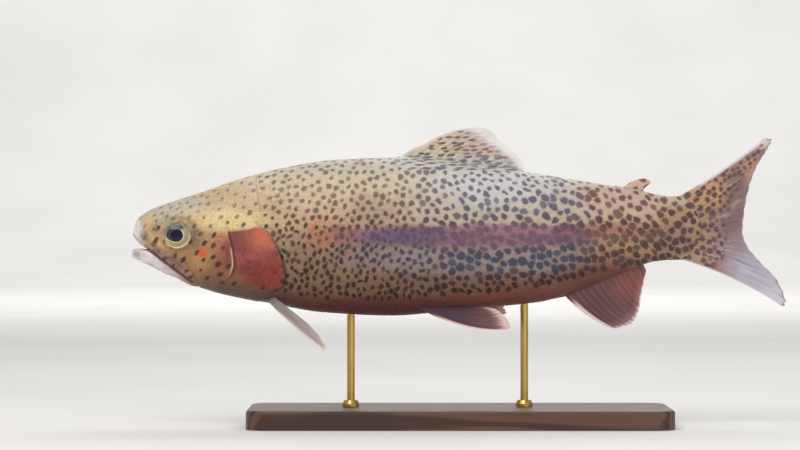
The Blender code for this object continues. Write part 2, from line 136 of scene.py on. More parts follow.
# the plain form of the body: each line is a list of (s, height) or (s, width)
bodyForm = {
    "back": [(-1.6, -11.0), (-0.4, 0.0), (1.2, 8.5), (5, 12.8), (16, 18.8), (42, 27.6), (93, 42.7),
             (132, 48.6), (172, 49.8), (222, 44.6), (272, 37.4), (323, 28.9), (343, 25.3),
             (354, 25.0), (361, 16.0), (364.5, 6.0)],
    "belly": [(-1.6, -12.0), (-0.6, -14.2), (4, -16.9), (36, -31.8), (58, -38.2), (93, -44.9),
              (120, -49.6), (165, -51.8), (208, -48.0), (262, -42.8), (291, -32.6), (328, -18.3),
              (343, -16.4), (354, -16.2), (361, -7.0), (364.5, 3.0)],
    "halfWidth": [(-1.6, 0.8), (-0.4, 5.5), (1.5, 8.8), (10, 13.2), (28, 17.4), (62, 23.0),
                  (92, 24.8), (112, 24.4), (160, 26.2), (200, 25.4), (250, 20.6), (310, 12.0),
                  (336, 8.2), (348, 4.4), (357, 1.9), (364.5, 0.7)],
    "widest": [(-1.6, -11.5), (1, -3.0), (28, -4.0), (62, 0.0), (172, 3.0), (343, 4.4),
               (364.5, 4.5)],
    "roofPower": 2.0,
    "keelPower": 2.15,
    "chin": -1.6,
    "end": 364.5,
    "tailSwing": 15.0,
    "swingStart": 150.0,
    "headTurn": 2.5,
    "length": 420.0,
}
back = smoothCurve(bodyForm["back"])
belly = smoothCurve(bodyForm["belly"])
halfWidth = smoothCurve(bodyForm["halfWidth"])
widest = smoothCurve(bodyForm["widest"])
lateralLevel = smoothCurve([(80, 6.5), (110, 3.4), (170, 1.8), (280, 2.6), (364, 4.4)])

# side-view lines of the head, as (s, z), and the rings of the skin that run along its two edges
cheekRing, gillRing = 62.0, 90.0
cheekEdge = smoothCurve([(-33, 57.3), (-26, 62.8), (-18, 65.1), (-10, 64.3), (1, 61.6), (6.5, 60.0)])
gillEdge = smoothCurve([(-60, 68.0), (-41, 81.0), (-36.5, 89.0), (-33, 95.5), (-27, 97.6),
                        (-18, 96.4), (-7, 92.2), (1, 87.0), (6.5, 80.0), (20, 75.5), (60, 70.0)])
eyeCentre = (29.1, -0.2)
eyeRadius = 8.1
eyeFlat = 0.94
gapeRoof = [(-6, 2.5), (-1.5, 0.8), (1.3, -2.2), (4, -5.2), (10.5, -9.4)]
gapeFloor = [(-6, -15.0), (-1.6, -11.2), (-0.4, -9.6), (1.4, -8.7), (5, -8.9), (10.5, -9.6)]
gapeMiddle = [(2, -5.8), (10.5, -9.6), (28, -15.5)]
mouthLine = dense([(10.0, -9.3), (11.5, -9.9), (20, -16.6), (30, -24.0), (38.2, -30.0)])
plateOutline = dense([(9.5, -6.6), (15, -8.3), (25, -12.6), (33, -18.2), (38.6, -24.6), (39.6, -28.4),
                      (37.4, -29.2), (30, -23.7), (20, -16.2), (12, -10.2), (9.0, -8.2), (9.5, -6.6)],
                     90)[:-1]
gillSeam = dense([(64.5, -24), (74, -25.5), (86, -24), (95, -20)], 24)
nostrils = [(14.0, 3.6, 0.85), (16.3, 4.9, 0.7)]  # s, z and radius


def atLine(s, line):
    return np.interp(s, *zip(*line))


def eyeAway(s, z):
    # how far from the eye's middle in side view; the eye is a little wider than tall
    return np.hypot(s - eyeCentre[0], (z - eyeCentre[1]) / eyeFlat)


def section(s, angle):
    # a point (y, z) of the body's cross-section, angle 0 on the back
    least = 0.3
    top, low, wide = back(s), belly(s), np.maximum(halfWidth(s), least)
    level = np.clip(widest(s), low + least, top - least)
    across, up = np.sin(angle), np.cos(angle)
    power = 2 / np.where(up > 0, bodyForm["roofPower"], bodyForm["keelPower"])
    reach = np.where(up > 0, top - level, level - low)
    return (wide * np.sign(across) * np.abs(across) ** power,
            level + reach * np.sign(up) * np.abs(up) ** power)


def edgePull(t, z):
    # the rings lean to run along the cheek's rear edge and the gill cover's rear edge
    cheek, gill = cheekEdge(z) - cheekRing, gillEdge(z) - gillRing
    over = cheek + (gill - cheek) * (t - cheekRing) / (gillRing - cheekRing)
    behind = gill * (1 - ramp(t, gillRing, 140))
    return np.where(t < cheekRing, cheek * ramp(t, 42, cheekRing), np.where(t < gillRing, over, behind))


def ringPoint(t, angle):
    # a point of the plain form on the ring that meets the back at t
    s = t + 0 * angle
    for _ in range(4):
        y, z = section(s, angle)
        s = t + edgePull(t, z)
    y, z = section(s, angle)
    return s, y, z


def bend(s):
    # how far aside the body's axis lies, and its turn there
    start, full = bodyForm["swingStart"], bodyForm["length"] - bodyForm["swingStart"]
    behind, ahead = np.maximum(0, s - start) / full, np.maximum(0, start - s) / start
    aside = bodyForm["tailSwing"] * behind ** 2 + bodyForm["headTurn"] * ahead ** 2
    turn = np.arctan(2 * bodyForm["tailSwing"] * behind / full - 2 * bodyForm["headTurn"] * ahead / start)
    return aside, turn


def swing(points):
    # bends the straight fish along its one gentle curve, and sets it over the base
    s, y, z = points[..., 0], points[..., 1], points[..., 2]
    aside, turn = bend(s)
    return np.stack([s - y * np.sin(turn) - midShift, aside + y * np.cos(turn), z + axisHeight], -1) * mm


def unswing(points):
    # the straight fish's (s, y, z) for points of the bent one, near enough for markings
    p = points / mm
    s = p[..., 0] + midShift
    for _ in range(3):
        aside, turn = bend(s)
        y = (p[..., 1] - aside) / np.cos(turn)
        s = p[..., 0] + midShift + y * np.sin(turn)
    return s, y, p[..., 2] - axisHeight


# how far each fold, plate and swelling stands out of the plain form, or lies in it
reliefForm = {
    "flesh": -0.15, "underScales": -0.2,
    "jawPlate": 0.6, "plateGroove": -0.2, "plateCrease": -0.18, "mouthLine": -0.75,
    "upperLip": 0.5, "upperFold": -0.22, "lowerLip": 0.6, "lowerFold": -0.4, "jawTip": 0.7,
    "eyeRim": 0.25, "eyeTrough": -0.35, "eyeFold": 0.25, "eyeWall": -0.45, "cheekBones": -0.16,
    "nostrilRim": 0.12, "nostril": -0.85, "brow": 0.5, "crown": -0.5,
    "cheekEdge": 0.7, "cheekTrough": -0.35, "gillEdge": 0.95, "gillTrough": -1.35,
    "gillDome": 0.5, "gillSeam": -0.28, "gillRays": 0.28, "throatFold": -0.8,
    "dorsalRoot": 1.1, "analRoot": 1.3, "adiposeRoot": 0.7, "vent": -0.9,
    "tailRoot": -0.5, "lateralLine": -0.12,
}


def relief(t, s, y, z):
    high = reliefForm
    lift = high["flesh"] + high["underScales"] * ramp(t, gillRing, 97) * (1 - ramp(s, 356, 362))
    face = 1 - ramp(s, 60, 66)
    # upper jaw bone, and the groove under it
    plate = outlineDepth(s, z, plateOutline)
    edge = high["jawPlate"] * ramp(plate, -1.0, 1.2) + high["plateGroove"] * bell(plate + 1.0, 0.9)
    lift += face * edge
    crease = lineDistance(s, z, [(17, -11.5), (27, -16.3), (35, -24.0)])
    lift += face * high["plateCrease"] * bell(crease, 0.6)
    lift += face * high["mouthLine"] * bell(lineDistance(s, z, mouthLine), 0.95)
    # rolls of the lips, and the fold under the lower one
    upperLip = lineDistance(s, z, gapeRoof)
    roll = high["upperLip"] * bell(upperLip - 1.3, 1.0) + high["upperFold"] * bell(upperLip - 3.4, 0.6)
    lift += face * roll * ramp(z, -13, -9)
    lowerLip = lineDistance(s, z, gapeFloor[1:-1] + mouthLine)
    under = 1 - ramp(z - atLine(s, [(-2, -7), (5, -8), (10.5, -9), (38, -29)]), -0.8, 0.4)
    roll = high["lowerLip"] * bell(lowerLip - 2.0, 1.3) + high["lowerFold"] * bell(lowerLip - 5.0, 0.8)
    lift += face * ((1 - ramp(plate, -0.8, 0.2)) * under) * roll
    lift += high["jawTip"] * bell(np.hypot(s - 1.8, z + 13.6), 2.8)
    # rim of the eye, its trough, and the rings of cheek bones behind it
    eye = eyeAway(s, z)
    lift += face * (high["eyeRim"] * bell(eye - 9.2, 0.9) + high["eyeTrough"] * bell(eye - 11.6, 1.2)
                    + high["eyeFold"] * bell(eye - 14, 1.6) + high["eyeWall"] * (1 - ramp(eye, 7.4, 8.8)))
    cheek = face * ramp(s, 27, 36) * window(z, -24, -18, 4, 10)
    seams = np.mod(np.degrees(np.arctan2(z, s - eyeCentre[0])), 26) - 13
    lift += cheek * high["cheekBones"] * bell(seams, 3) * ramp(eye, 13, 16)
    for ns, nz, size in nostrils:
        hole = np.hypot(s - ns, z - nz)
        edge = high["nostrilRim"] * bell(hole - 1.7, 0.6) + high["nostril"] * bell(hole, size)
        lift += edge * (np.abs(y) > 3)
    # brow ridge, and the flat between the eyes
    lift += high["brow"] * window(s, 14, 22, 36, 52) * bell(z - 15.5, 4.5)
    lift += high["crown"] * window(s, 12, 20, 42, 60) * bell(y, 7) * (z > 10)
    # cheek edge, and the gill cover's dome, flap and the trough behind it
    lift += window(z, -31, -25, 1, 8) * np.where(
        t <= cheekRing, high["cheekEdge"] * np.exp(-(cheekRing - t) / 6),
        high["cheekTrough"] * np.exp(-(t - cheekRing) / 1.3))
    lift += flapReach(z) * np.where(
        t <= gillRing, high["gillEdge"] * ramp(t, 68, 88), high["gillTrough"] * np.exp(-(t - gillRing) / 5))
    lift += high["gillDome"] * window(z, -30, -16, -6, 4) * window(t, 63, 72, 80, 90)
    lift += high["gillSeam"] * bell(lineDistance(s, z, gillSeam), 0.5) * window(t, 62.5, 65, 88, 89.5)
    # gill rays in the throat's membrane, and the fold along its middle
    throat = window(s, 44, 56, 84, 96) * (1 - ramp(z - belly(s), 7.5, 10.5)) * (t < 90.4)
    lift += throat * high["gillRays"] * np.sin((z - belly(s)) * 2.6 + np.abs(y) * 0.5)
    lift += high["throatFold"] * bell(y, 1.6) * (z < 0) * window(s, 6, 14, 60, 80)
    # flesh at the roots of the fins, and the vent
    lift += high["dorsalRoot"] * bell(y, 2.4) * (z > 0) * window(s, 163, 176, 244, 254)
    lift += high["analRoot"] * bell(y, 2.2) * (z < 0) * window(s, 268, 278, 322, 332)
    lift += high["adiposeRoot"] * bell(y, 1.8) * (z > 0) * window(s, 306, 312, 322, 330)
    lift += high["vent"] * bell(y, 1.4) * (z < 0) * bell(s - 266, 2.2)
    # the tail stem thins out over the roots of the tail fin's rays
    lift += high["tailRoot"] * window(t, 350, 358, 359, 364)
    # the line of sense organs
    lift += high["lateralLine"] * bell(z - lateralLevel(s), 0.8) * ramp(t, 96, 100)
    return lift


def flapReach(z):
    # the heights over which the gill cover ends in a free flap
    return window(z, -43, -33, 2, 9)


def surface(t, angle, extra=0.0):
    # the skin's point for a ring place t and an angle round it, on the straight fish, and its normal
    stepT, stepAngle = 0.4, 0.01
    s, y, z = ringPoint(t, angle)
    along = np.stack(ringPoint(t + stepT, angle), -1) - np.stack(ringPoint(t - stepT, angle), -1)
    around = np.stack(ringPoint(t, angle + stepAngle), -1) - np.stack(ringPoint(t, angle - stepAngle), -1)
    normal = np.cross(along, around)
    normal /= np.maximum(np.linalg.norm(normal, axis=-1, keepdims=True), 1e-9)
    return np.stack([s, y, z], -1) + normal * (relief(t, s, y, z) + extra)[..., None], normal


def newPiece(name, points, faces):
    # faces is one array of quads, or a list of loops of any length
    flat = np.concatenate(faces) if isinstance(faces, list) else faces.reshape(-1)
    sizes = np.array([len(f) for f in faces])
    mesh = bpy.data.meshes.new(name)
    mesh.vertices.add(len(points))
    mesh.vertices.foreach_set("co", np.ascontiguousarray(points, np.float32).reshape(-1))
    mesh.loops.add(len(flat))
    mesh.loops.foreach_set("vertex_index", flat.astype(np.int32))
    mesh.polygons.add(len(sizes))
    mesh.polygons.foreach_set("loop_start", np.concatenate([[0], np.cumsum(sizes)[:-1]]).astype(np.int32))
    mesh.polygons.foreach_set("loop_total", sizes.astype(np.int32))
    mesh.update(calc_edges=True)
    mesh.validate()
    mesh.shade_smooth()
    obj = bpy.data.objects.new(name, mesh)
    bpy.context.scene.collection.objects.link(obj)
    return obj


def faceOut(obj):
    # turns all faces outwards
    bm = bmesh.new()
    bm.from_mesh(obj.data)
    bmesh.ops.recalc_face_normals(bm, faces=bm.faces[:])
    bm.to_mesh(obj.data)
    bm.free()


def readOut(items, name, width=1, kind=np.int32):
    # one value, or a row of width values, of each vertex, edge, loop or face
    values = np.empty(len(items) * width, kind)
    items.foreach_get(name, values)
    return values if width == 1 else values.reshape(-1, width)


def coordinates(obj):
    return readOut(obj.data.vertices, "co", 3, np.float32).astype(float)


def loopVertices(obj):
    return readOut(obj.data.loops, "vertex_index")


def setAttribute(obj, name, values):
    values = np.asarray(values, np.float32)
    kind, field = ("FLOAT_VECTOR", "vector") if values.ndim == 2 else ("FLOAT", "value")
    layer = obj.data.attributes.new(name, kind, "POINT")
    layer.data.foreach_set(field, values.reshape(-1))


def setUv(obj, name, perLoop):
    layer = obj.data.uv_layers.new(name=name)
    layer.uv.foreach_set("vector", np.asarray(perLoop, np.float32).reshape(-1))


def settle(obj, slot, materials, *nodes):
    obj.data.materials.clear()
    for material in materials:
        obj.data.materials.append(material)
    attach(obj, "root")
    if nodes:
        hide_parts(*nodes)


def gridFaces(rows, columns, closed=False):
    i, j = np.meshgrid(np.arange(rows - 1), np.arange(columns if closed else columns - 1), indexing="ij")
    k = (j + 1) % columns
    quads = [i * columns + j, i * columns + k, (i + 1) * columns + k, (i + 1) * columns + j]
    return np.stack(quads, -1).reshape(-1, 4)


def drumFaces(rows, columns, base=0):
    # rings of points, with one face on the first ring and one on the last
    ring = base + np.arange(columns)
    return [*(gridFaces(rows, columns, True) + base), ring[::-1], ring + (rows - 1) * columns]


def domeFaces(rows, columns):
    # rings of points, with a fan to each of the two points that follow them
    first, end = rows * columns, (rows - 1) * columns
    faces = list(gridFaces(rows, columns, True))
    for j in range(columns):
        k = (j + 1) % columns
        faces += [np.array((first, k, j)), np.array((first + 1, end + j, end + k))]
    return faces


def sheetPiece(name, centre, half):
    # a thin sheet, half to each side of its middle surface, closed round its rim
    ring = np.concatenate([centre + half, (centre - half)[:, ::-1]], axis=1)
    rows, around = ring.shape[:2]
    faces = list(gridFaces(rows, around, True))
    for row, turn in ((0, -1), (rows - 1, 1)):
        for j in range(around // 2 - 1):
            faces.append((row * around + np.array([j, j + 1, around - 2 - j, around - 1 - j]))[::turn])
    obj = newPiece(name, swing(ring.reshape(-1, 3)), faces)
    faceOut(obj)
    return obj


# a table of the distance from the back round each cross-section, for markings and for baking
arcStations = np.linspace(bodyForm["chin"], bodyForm["end"], 240)
halfTurn = np.linspace(0, math.pi, 121)
ringY, ringZ = section(arcStations[:, None], halfTurn[None, :])
arcSteps = np.cumsum(np.hypot(np.diff(ringY), np.diff(ringZ)), axis=1)
arcTable = np.concatenate([np.zeros((len(arcStations), 1)), arcSteps], axis=1)


def stationRow(s):
    return (s - arcStations[0]) / (arcStations[1] - arcStations[0])


def unrolled(s, y, z):
    # the angle round the body and the distance from the back, for a place of the skin
    top, low, wide = back(s), belly(s), halfWidth(s)
    level = np.clip(widest(s), low + 0.3, top - 0.3)
    reach = np.where(z > level, top - level, level - low)
    power = np.where(z > level, bodyForm["roofPower"], bodyForm["keelPower"]) / 2
    across = np.clip(np.abs(y) / wide, 1e-6, None) ** power
    up = np.sign(z - level) * np.clip(np.abs(z - level) / reach, 1e-6, None) ** power
    angle = np.arctan2(across, up)
    row = stationRow(np.clip(s, arcStations[0], arcStations[-1]))
    return angle, between(arcTable, row, angle / math.pi * (len(halfTurn) - 1))


spotLook = {
    # least distance between spots and their radius, along the body: the upper flank, then the lower one
    "upperGap": [(0, 4.6), (45, 5.4), (78, 6.2), (92, 4.5), (190, 4.5), (230, 5.0), (290, 4.9),
                 (350, 4.6), (372, 3.6), (395, 2.9), (425, 2.9)],
    "upperSize": [(0, 0.95), (45, 1.1), (78, 1.35), (92, 1.5), (180, 1.7), (215, 2.05), (290, 2.4),
                  (345, 2.35), (360, 1.9), (378, 1.45), (395, 1.15), (425, 1.1)],
    "lowerGap": [(0, 6.0), (80, 6.4), (94, 3.9), (180, 4.0), (205, 4.8), (290, 4.9), (350, 4.6),
                 (372, 3.8), (425, 3.4)],
    "lowerSize": [(0, 1.45), (80, 1.6), (94, 1.5), (180, 1.7), (205, 2.45), (290, 2.5), (345, 2.45),
                  (360, 2.0), (378, 1.55), (425, 1.3)],
    # the lowest level that spots reach
    "hem": [(0, -12), (20, -17), (40, -27), (62, -31), (90, -34), (120, -39), (160, -40), (195, -37),
            (262, -31.5), (280, -26.5), (300, -21), (326, -18.5), (345, -30), (425, -60)],
    "backDash": 3.6,  # length of the dashes beside the dorsal fin, over their width
    # the unrolled sheet: the size of a cell, where it starts, its length and its half width
    "step": 0.5, "start": -4.0, "length": 428.0, "half": 128.0,
}
tailTop = 25.2  # the level of the back at the tail fin, which is spotted by height


def flatShare(s):
    # 0 on the round body, where arcs count, and 1 on the flat tail
    return ramp(s, 322, 348)


def levelOf(s, around):
    # height of the flank at an arc from the back; on the tail fin the two are one
    row = np.clip(stationRow(s), 0, len(arcStations) - 1.001).astype(int)
    out = np.empty(len(s))
    for i in np.unique(row):
        hit = row == i
        out[hit] = np.interp(np.abs(around[hit]), arcTable[i], ringZ[i])
    flat = flatShare(s)
    return out * (1 - flat) + (tailTop - np.abs(around)) * flat


def gillShare(s, z):
    # 0 at the cheek's edge, 1 at the gill cover's
    return (s - cheekEdge(z)) / np.maximum(gillEdge(z) - cheekEdge(z), 5)


def gillCover(s, z):
    share = gillShare(s, z)
    low = atLine(s, [(56, -24), (64, -28), (76, -31.5), (88, -34.5), (97, -35)])
    top = atLine(s, [(60, 1.8), (66, 2.4), (74, 3.2), (82, 5.4), (88, 3.0), (93, -5.0)])
    cover = ramp(share, -0.02, 0.04) * (1 - 0.45 * ramp(share, 0.9, 0.99)) * (1 - ramp(share, 1.0, 1.012))
    return cover * ramp(z, low - 2.0, low + 1.5) * (1 - ramp(z - top, -2.0, 1.8))


def growSpots():
    # ovals that keep their distance: every place of the sheet is tried once, in a random order
    seeded = np.random.default_rng(23)
    step, half = spotLook["step"], spotLook["half"]
    places, arcs = np.arange(-3, 423, step), np.arange(-half, half, step)
    s, around = (a.ravel() for a in np.meshgrid(places, arcs, indexing="ij"))
    z = levelOf(s, around)
    low = 1 - ramp(z, 2, 9)
    front, middle = window(s, 84, 94, 175, 205), window(s, 192, 212, 285, 296)
    upperGap, upperSize, lowerGap, lowerSize, hem = (
        smoothCurve(spotLook[k])(s) for k in ("upperGap", "upperSize", "lowerGap", "lowerSize", "hem"))
    fine = middle * np.maximum(ramp(z, 24, 30), ramp(-z, 23, 29))
    stem = ramp(s, 286, 300) * ramp(z, 12, 20) * (1 - ramp(s, 345, 352))
    gap = (upperGap * (1 - low) + lowerGap * low) * (1 - 0.12 * fine)
    size = (upperSize * (1 - low) + lowerSize * low) * (1 - 0.3 * fine) * (1 - 0.18 * stem)
    beside = (z > 41.5) & (s > 176) & (s < 246)
    tall = np.where(beside, 0.6, 1 + front * (0.04 + 0.05 * low))
    girth = np.where(s < 345, np.interp(s, arcStations, arcTable[:, -1]), 75)
    free = (np.abs(around) < girth) & (z > hem + seeded.normal(0, 0.7, len(s)))
    free = free.reshape(len(places), len(arcs))
    kept = []
    for cell in seeded.permutation(free.size):
        i, j = divmod(int(cell), len(arcs))
        if not free[i, j]:
            continue
        kept.append(cell)
        reachS, reachA = gap[cell] / tall[cell] / step, gap[cell] * tall[cell] / step
        i0, j0 = max(i - int(reachS), 0), max(j - int(reachA), 0)
        part = free[i0:i + int(reachS) + 1, j0:j + int(reachA) + 1]
        ds, da = np.ogrid[i0 - i:i0 - i + part.shape[0], j0 - j:j0 - j + part.shape[1]]
        part &= (ds / reachS) ** 2 + (da / reachA) ** 2 >= 1
    # no spot lies across the upper border of the gill cover
    kept = np.array(kept)
    probe = 1.8
    over = np.stack([gillCover(s[kept] + probe * math.cos(a), z[kept] + probe * math.sin(a))
                     for a in range(6)])
    kept = kept[(over.max(0) < 0.15) | (over.min(0) > 0.5) | (z[kept] < -8)]
    s, around, size, low, front, middle, beside = (
        values[kept] for values in (s, around, size, low, front, middle, beside))
    count = len(s)
    size = size * np.exp(seeded.normal(0, 0.12, count))
    spread = 0.1 + 0.22 * middle + 0.1 * front
    long = 1 + np.abs(seeded.normal(0, 1, count)) * spread + 0.42 * front * low
    upright = seeded.random(count) < 0.3 + 0.65 * front
    turn = np.where(upright, seeded.normal(90, 15, count), seeded.normal(0, 45, count))
    # long dark dashes beside the dorsal fin
    long = np.where(beside, spotLook["backDash"], long)
    turn = np.where(beside, seeded.normal(-18, 5, count) * np.sign(around), turn)
    size = np.where(beside, size * 1.15, size)
    # spots of one family run together, the others stay apart
    family = np.where(middle * low > 0.5, seeded.integers(0, 6, count), seeded.integers(6, 24, count))
    return s, around, size, long, np.radians(turn), seeded.random(count), family


def spotSheet():
    # how deep inside a spot each place of the unrolled skin lies, and that spot's depth of colour;
    # a pale line is kept between two spots unless they are of one family
    step, start, half = spotLook["step"], spotLook["start"], spotLook["half"]
    shape = (int(spotLook["length"] / step) + 1, int(2 * half / step) + 1)
    first, second = np.full(shape, -3.0), np.full(shape, -6.0)
    shade, kin = np.zeros(shape), np.full(shape, -1)
    for s, around, size, long, turn, own, family in zip(*growSpots()):
        reach = size * 1.9 + 3.2
        i0, i1 = max(int((s - reach - start) / step), 0), min(int((s + reach - start) / step) + 2, shape[0])
        j0 = max(int((around - reach + half) / step), 0)
        j1 = min(int((around + reach + half) / step) + 2, shape[1])
        ds = np.arange(i0, i1)[:, None] * step + start - s
        da = np.arange(j0, j1)[None, :] * step - half - around
        u, v = ds * math.cos(turn) + da * math.sin(turn), -ds * math.sin(turn) + da * math.cos(turn)
        deep = size - np.hypot(u / math.sqrt(long), v * math.sqrt(long))
        part = (slice(i0, i1), slice(j0, j1))
        wins, other = deep > first[part], kin[part] != family
        second[part] = np.where(wins, np.where(other, first[part], second[part]),
                                np.where(other, np.maximum(second[part], deep), second[part]))
        shade[part] = np.where(wins, own, shade[part])
        kin[part] = np.where(wins, family, kin[part])
        first[part] = np.maximum(first[part], deep)
    return np.minimum(first, (first - second) * 0.5 - 0.4), shade


spotDepth, spotShade = spotSheet()
print("spots on a sheet of", spotDepth.shape, "cells")


def spotsAt(s, around):
    # (depth in a spot, its tone, 0) at places of the sheet, with the spots' outlines made a little wavy
    sway = 0.08 + 0.2 * ramp(s, 84, 98)
    s, around = (s + sway * np.sin(0.95 * around + 1.7 * np.sin(0.31 * s)),
                 around + sway * np.sin(0.9 * s + 1.9 * np.sin(0.27 * around)))
    row = np.clip((s - spotLook["start"]) / spotLook["step"], 0, spotDepth.shape[0] - 1.001)
    col = np.clip((around + spotLook["half"]) / spotLook["step"], 0, spotDepth.shape[1] - 1.001)
    deep = between(spotDepth, row, col)
    return np.stack([deep, spotShade[row.astype(int), col.astype(int)], 0 * deep], -1)


def skinSpots(s, y, z):
    _, arc = unrolled(s, y, z)
    flat = flatShare(s)
    side = np.where(y < 0, -1.0, 1.0)
    return spotsAt(s, side * (arc * (1 - flat) + (tailTop - z) * flat))


def newMaterial(name):
    material = bpy.data.materials.new(name)
    material.use_nodes = True
    return material, material.node_tree, material.node_tree.nodes["Principled BSDF"]


def add(tree, kind, settings={}, links={}):
    # adds one node, sets its values by name or socket number, and links its inputs
    node = tree.nodes.new("ShaderNode" + kind)
    for key, value in settings.items():
        if key == "stops":
            elements = node.color_ramp.elements
            while len(elements) < len(value):
                elements.new(0.5)
            for element, (place, hexText) in zip(elements, value):
                element.position = place
                element.color = rgb(hexText)
        elif isinstance(key, str) and hasattr(node, key):
            setattr(node, key, value)
        else:
            node.inputs[key].default_value = value
    for key, socket in links.items():
        tree.links.new(socket, node.inputs[key])
    return node.outputs


def connect(shader, links, values={}):
    for key, socket in links.items():
        shader.id_data.links.new(socket, shader.inputs[key])
    for key, value in values.items():
        shader.inputs[key].default_value = value


def fade(*steps):
    # a strength from 0 to 1. Each step is a socket, or (value, low, high) for 0 at low and 1 at high, or
    # that with the two ends' own strengths and the kind of slope. All steps are multiplied.
    product = None
    for step in steps:
        if isinstance(step, tuple):
            value, low, high, first, last, kind = (step + (0.0, 1.0, "SMOOTHSTEP")[len(step) - 3:])
            step = add(value.id_data, "MapRange", {"interpolation_type": kind, "clamp": True,
                                                   1: low, 2: high, 3: first, 4: last}, {0: value})[0]
        if product is not None:
            step = add(step.id_data, "Math", {"operation": "MULTIPLY"}, {0: product, 1: step})[0]
        product = step
    return product


def painted(colour, *coats):
    # coats of colour over one another, each (strength, colour) or (strength, colour, way of mixing). A
    # strength is one step of fade or a list of them, and a colour is a socket or a hex text.
    for strength, over, *way in coats:
        share = fade(*strength) if isinstance(strength, list) else fade(strength)
        settings = {"data_type": "RGBA", "blend_type": way[0] if way else "MIX"}
        links = {0: share}
        for key, value in ((6, colour), (7, over)):
            if isinstance(value, str):
                settings[key] = rgb(value)
            else:
                links[key] = value
        colour = add(share.id_data, "Mix", settings, links)[2]
    return colour


def attribute(tree, name):
    # the three values of a piece's own attribute
    return add(tree, "SeparateXYZ", {}, {0: add(tree, "Attribute", {"attribute_name": name})["Vector"]})


def drawnNoise(vector, stretch, detail, roughness=0.5):
    # noise drawn out along the directions with the smaller stretch
    tree = vector.id_data
    vector = add(tree, "VectorMath", {"operation": "MULTIPLY", 1: stretch}, {0: vector})[0]
    return add(tree, "TexNoise", {"Scale": 1.0, "Detail": detail, "Roughness": roughness},
               {"Vector": vector})[0]


def bodyPlace(tree, wobble=1.6, size=9.0):
    # (s, y, z) of the fish in millimetres, and the same with edges made uneven by a soft noise
    place = add(tree, "TexCoord")["Object"]
    place = add(tree, "VectorMath", {"operation": "MULTIPLY_ADD", 1: (1 / mm,) * 3,
                                     2: (midShift, 0, -axisHeight)}, {0: place})[0]
    noise = add(tree, "TexNoise", {"Scale": 1 / size, "Detail": 3.0, "Roughness": 0.6},
                {"Vector": place})["Color"]
    shift = add(tree, "VectorMath", {"operation": "MULTIPLY_ADD", 1: (wobble * 4,) * 3,
                                     2: (-wobble * 2,) * 3}, {0: noise})[0]
    return place, add(tree, "VectorMath", {"operation": "ADD"}, {0: place, 1: shift})[0]


def zone(place, centre, radii, soft, strength=1.0):
    # a soft oval patch in side view
    (cs, cz), (rs, rz) = centre, radii
    tree = place.id_data
    near = add(tree, "VectorMath", {"operation": "MULTIPLY_ADD", 1: (1 / rs, 0, 1 / rz),
                                    2: (-cs / rs, 0, -cz / rz)}, {0: place})[0]
    away = add(tree, "VectorMath", {"operation": "LENGTH"}, {0: near})[1]
    return fade((away, 1 + soft, max(1 - soft, 0), 0.0, strength))


